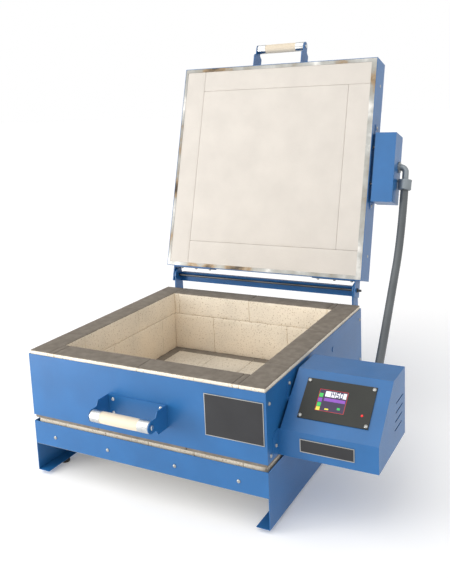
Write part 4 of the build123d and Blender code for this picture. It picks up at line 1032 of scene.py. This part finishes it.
def hardware_shape(y, plate_y, z):
    """Ferrules with rolled rims, bolt heads and four plate screws of one handle."""
    shapes = []
    for side in (-1, 1):
        shapes.append(lathe((HANDLE_MIDDLE, y, z), (side, 0, 0), FERRULE_PROFILE, FERRULE_SEGMENTS))
        shapes.append(lathe((HANDLE_MIDDLE, y, z), (side, 0, 0), BOLT_PROFILE, BOLT_SEGMENTS))
        for rise in (-PLATE_SCREW_Z, PLATE_SCREW_Z):
            place = (HANDLE_MIDDLE + side * PLATE_SCREW_X, plate_y, z + rise)
            shapes.append(screw_head(place, (0, -1, 0)))
    return join(shapes)


class KILN_OT_handles(bpy.types.Operator):
    """Wooden grips with ferrules on the chamber and the lid"""

    bl_idname = "kiln.handles"
    bl_label = "Handles"

    def execute(self, context):
        wood, metal = MATERIALS["wood"], MATERIALS["brushed_ferrule"]
        for name, body, wall, z, place in (
            ("front_handle", "chamber", -CASE_HALF, FRONT_HANDLE_Z, unmoved),
            ("lid_handle", "lid", LID_FRONT, LID_HANDLE_Z, swung),
        ):
            grip = place(grip_shape(wall - GRIP_DISTANCE, z))
            hardware = place(hardware_shape(wall - GRIP_DISTANCE, wall - PLATE_THICKNESS, z))
            build(name + "_wood", grip, wood, body, [name + "_grip"])
            build(name + "_metal", hardware, metal, body, [name + "_hardware"], METAL_SHARP)
        return {"FINISHED"}


# Screen: heights of its glass, blocks, numbers and frame above the sloped face, and its colours
GLASS_HEIGHT = 1.6
BLOCK_HEIGHT = 1.72
FRAME_HEIGHT = 1.75
DIGIT_HEIGHT = 1.8
SCREEN_EDGES = dict(radius=0.08, spacing=20.0)
SCREEN_COLORS = {
    "green": (0.03, 0.5, 0.08),
    "purple": (0.22, 0.05, 0.42),
    "yellow": (0.8, 0.7, 0.05),
    "white": (0.85, 0.86, 0.9),
    "red": (0.6, 0.02, 0.02),
    "ink": (0.05, 0.05, 0.12),
}
# Buttons at the screen's left: where each lies up the slope, and its colour
BUTTONS = ((11.0, "green"), (0.5, "purple"), (-9.5, "green"), (-19.0, "yellow"))
BUTTON_X = (-40.0, -32.0)
BUTTON_HALF = 4.3
# Other blocks: colour, range across, and range up the slope
SCREEN_BLOCKS = (
    ("white", (-28.0, 16.0), (9.0, 21.0)),
    ("purple", (-28.0, 16.0), (-1.0, 6.0)),
    ("green", (3.0, 9.0), (-16.0, -11.5)),
    ("yellow", (-22.0, -14.0), (-19.5, -16.5)),
)
# Strips of the red frame: range across, and range up the slope
FRAME_STRIPS = (
    ((-41.5, 18.5), (23.45, 24.25)),
    ((-41.5, 18.5), (-23.25, -22.45)),
    ((-41.5, -40.7), (-22.45, 23.45)),
    ((17.7, 18.5), (-22.45, 23.45)),
)
# Plain number on the screen, and the bars of its digits
NUMBER = "1450"
NUMBER_X = -18.0
NUMBER_S = 15.0
DIGIT_SIZE = 8.4
DIGIT_PITCH = 0.95
DIGIT_RISE = 1.2
BAR_DISTANCE = 0.28
FLAT_BAR = (0.34, 0.11)
UPRIGHT_BAR = (0.11, 0.33)
DIGIT_BARS = {"1": "bc", "4": "bcfg", "5": "acdfg", "0": "abcdef"}
# Each bar's side, its height up the digit, and its half size
BARS = {
    "a": (0, 1, FLAT_BAR),
    "b": (1, 0.75, UPRIGHT_BAR),
    "c": (1, 0.25, UPRIGHT_BAR),
    "d": (0, 0, FLAT_BAR),
    "e": (-1, 0.25, UPRIGHT_BAR),
    "f": (-1, 0.75, UPRIGHT_BAR),
    "g": (0, 0.5, FLAT_BAR),
}
# Bare plates: range across, range of heights and front of each, and the size of its silver border
PLATES = (
    ((164.0, 297.0), (187.4, 277.9), -303.5),
    ((350.0, 462.0), (164.6, 192.1), -253.0),
)
BORDER_WIDTH = 1.6
BORDER_THICKNESS = 0.12
BORDER_EDGE = dict(radius=0.05, spacing=40.0)


def face_block(x, s, low, high):
    """Thin block on the sloped face.

    x and s are its ranges across and up the slope, low and high its heights. Its points are turned by the
    face's three directions.
    """
    points, faces = rounded_block((x[0], s[0], low), (x[1], s[1], high), **SCREEN_EDGES)
    directions = np.stack((FACE_ACROSS, FACE_UP, FACE_OUT))
    return FACE_ORIGIN + points @ directions, faces


def digit_blocks(text, x, s, size):
    """Plain numbers of up to seven bars each."""
    shapes = []
    for place, digit in enumerate(text):
        left = x + place * size * DIGIT_PITCH
        for bar in DIGIT_BARS[digit]:
            side, up, half = BARS[bar]
            bar_x = left + side * size * BAR_DISTANCE
            bar_s = s + (up - MIDDLE) * size * DIGIT_RISE
            across = (bar_x - half[0] * size, bar_x + half[0] * size)
            rise = (bar_s - half[1] * size, bar_s + half[1] * size)
            shapes.append(face_block(across, rise, BLOCK_HEIGHT, DIGIT_HEIGHT))
    return shapes


def border_blocks(x, z, y):
    """Four thin silver strips round an upright plate."""
    inner = (z[0] + BORDER_WIDTH, z[1] - BORDER_WIDTH)
    strips = (
        (x, (z[0], inner[0])),
        (x, (inner[1], z[1])),
        ((x[0], x[0] + BORDER_WIDTH), inner),
        ((x[1] - BORDER_WIDTH, x[1]), inner),
    )
    back = y - BORDER_THICKNESS
    return [rounded_block((a[0], back, b[0]), (a[1], y, b[1]), **BORDER_EDGE) for a, b in strips]


class KILN_OT_screen(bpy.types.Operator):
    """Coloured blocks and plain numbers on the touch screen, and silver borders of the bare plates"""

    bl_idname = "kiln.screen"
    bl_label = "Screen and plates"

    def execute(self, context):
        blocks = {name: [] for name in SCREEN_COLORS}
        for s, color in BUTTONS:
            rise = (s - BUTTON_HALF, s + BUTTON_HALF)
            blocks[color].append(face_block(BUTTON_X, rise, GLASS_HEIGHT, BLOCK_HEIGHT))
        for color, across, rise in SCREEN_BLOCKS:
            blocks[color].append(face_block(across, rise, GLASS_HEIGHT, BLOCK_HEIGHT))
        for across, rise in FRAME_STRIPS:
            blocks["red"].append(face_block(across, rise, GLASS_HEIGHT, FRAME_HEIGHT))
        blocks["ink"] += digit_blocks(NUMBER, NUMBER_X, NUMBER_S, DIGIT_SIZE)
        for name, shapes in blocks.items():
            material = plain_glow("screen_" + name, SCREEN_COLORS[name], SCREEN_ROUGHNESS)
            build("screen_" + name, join(shapes), material, "chamber")
        borders = join([strip for plate in PLATES for strip in border_blocks(*plate)])
        build("plate_borders", borders, MATERIALS["zinc_steel"], "chamber")
        return {"FINISHED"}


class KILN_PT_panel(bpy.types.Panel):
    """Sidebar list of the kiln's builders"""

    bl_idname = "KILN_PT_panel"
    bl_label = "Kiln"
    bl_space_type = "VIEW_3D"
    bl_region_type = "UI"
    bl_category = "Kiln"

    def draw(self, context):
        looks = context.scene.kiln_looks
        for name in ("blue", "brick", "fibre", "wood", "conduit_diameter", "light"):
            self.layout.prop(looks, name)
        for operator in OPERATORS:
            self.layout.operator(operator.bl_idname)


OPERATORS = (
    KILN_OT_stage,
    KILN_OT_finishes,
    KILN_OT_conduit,
    KILN_OT_bricks,
    KILN_OT_fibre,
    KILN_OT_screws,
    KILN_OT_handles,
    KILN_OT_screen,
)
CLASSES = (KilnLooks, *OPERATORS, KILN_PT_panel)


def register():
    """Register the classes and hang the looks on the scene."""
    for item in CLASSES:
        bpy.utils.register_class(item)
    bpy.types.Scene.kiln_looks = bpy.props.PointerProperty(type=KilnLooks)


def unregister():
    """Take the classes away again."""
    del bpy.types.Scene.kiln_looks
    for item in reversed(CLASSES):
        bpy.utils.unregister_class(item)


def main():
    """Register the classes and run every builder in order."""
    register()
    bpy.ops.kiln.stage()
    bpy.ops.kiln.finishes()
    bpy.ops.kiln.conduit()
    bpy.ops.kiln.bricks()
    bpy.ops.kiln.fibre()
    bpy.ops.kiln.screws()
    bpy.ops.kiln.handles()
    bpy.ops.kiln.screen()


if __name__ == "__main__":
    main()
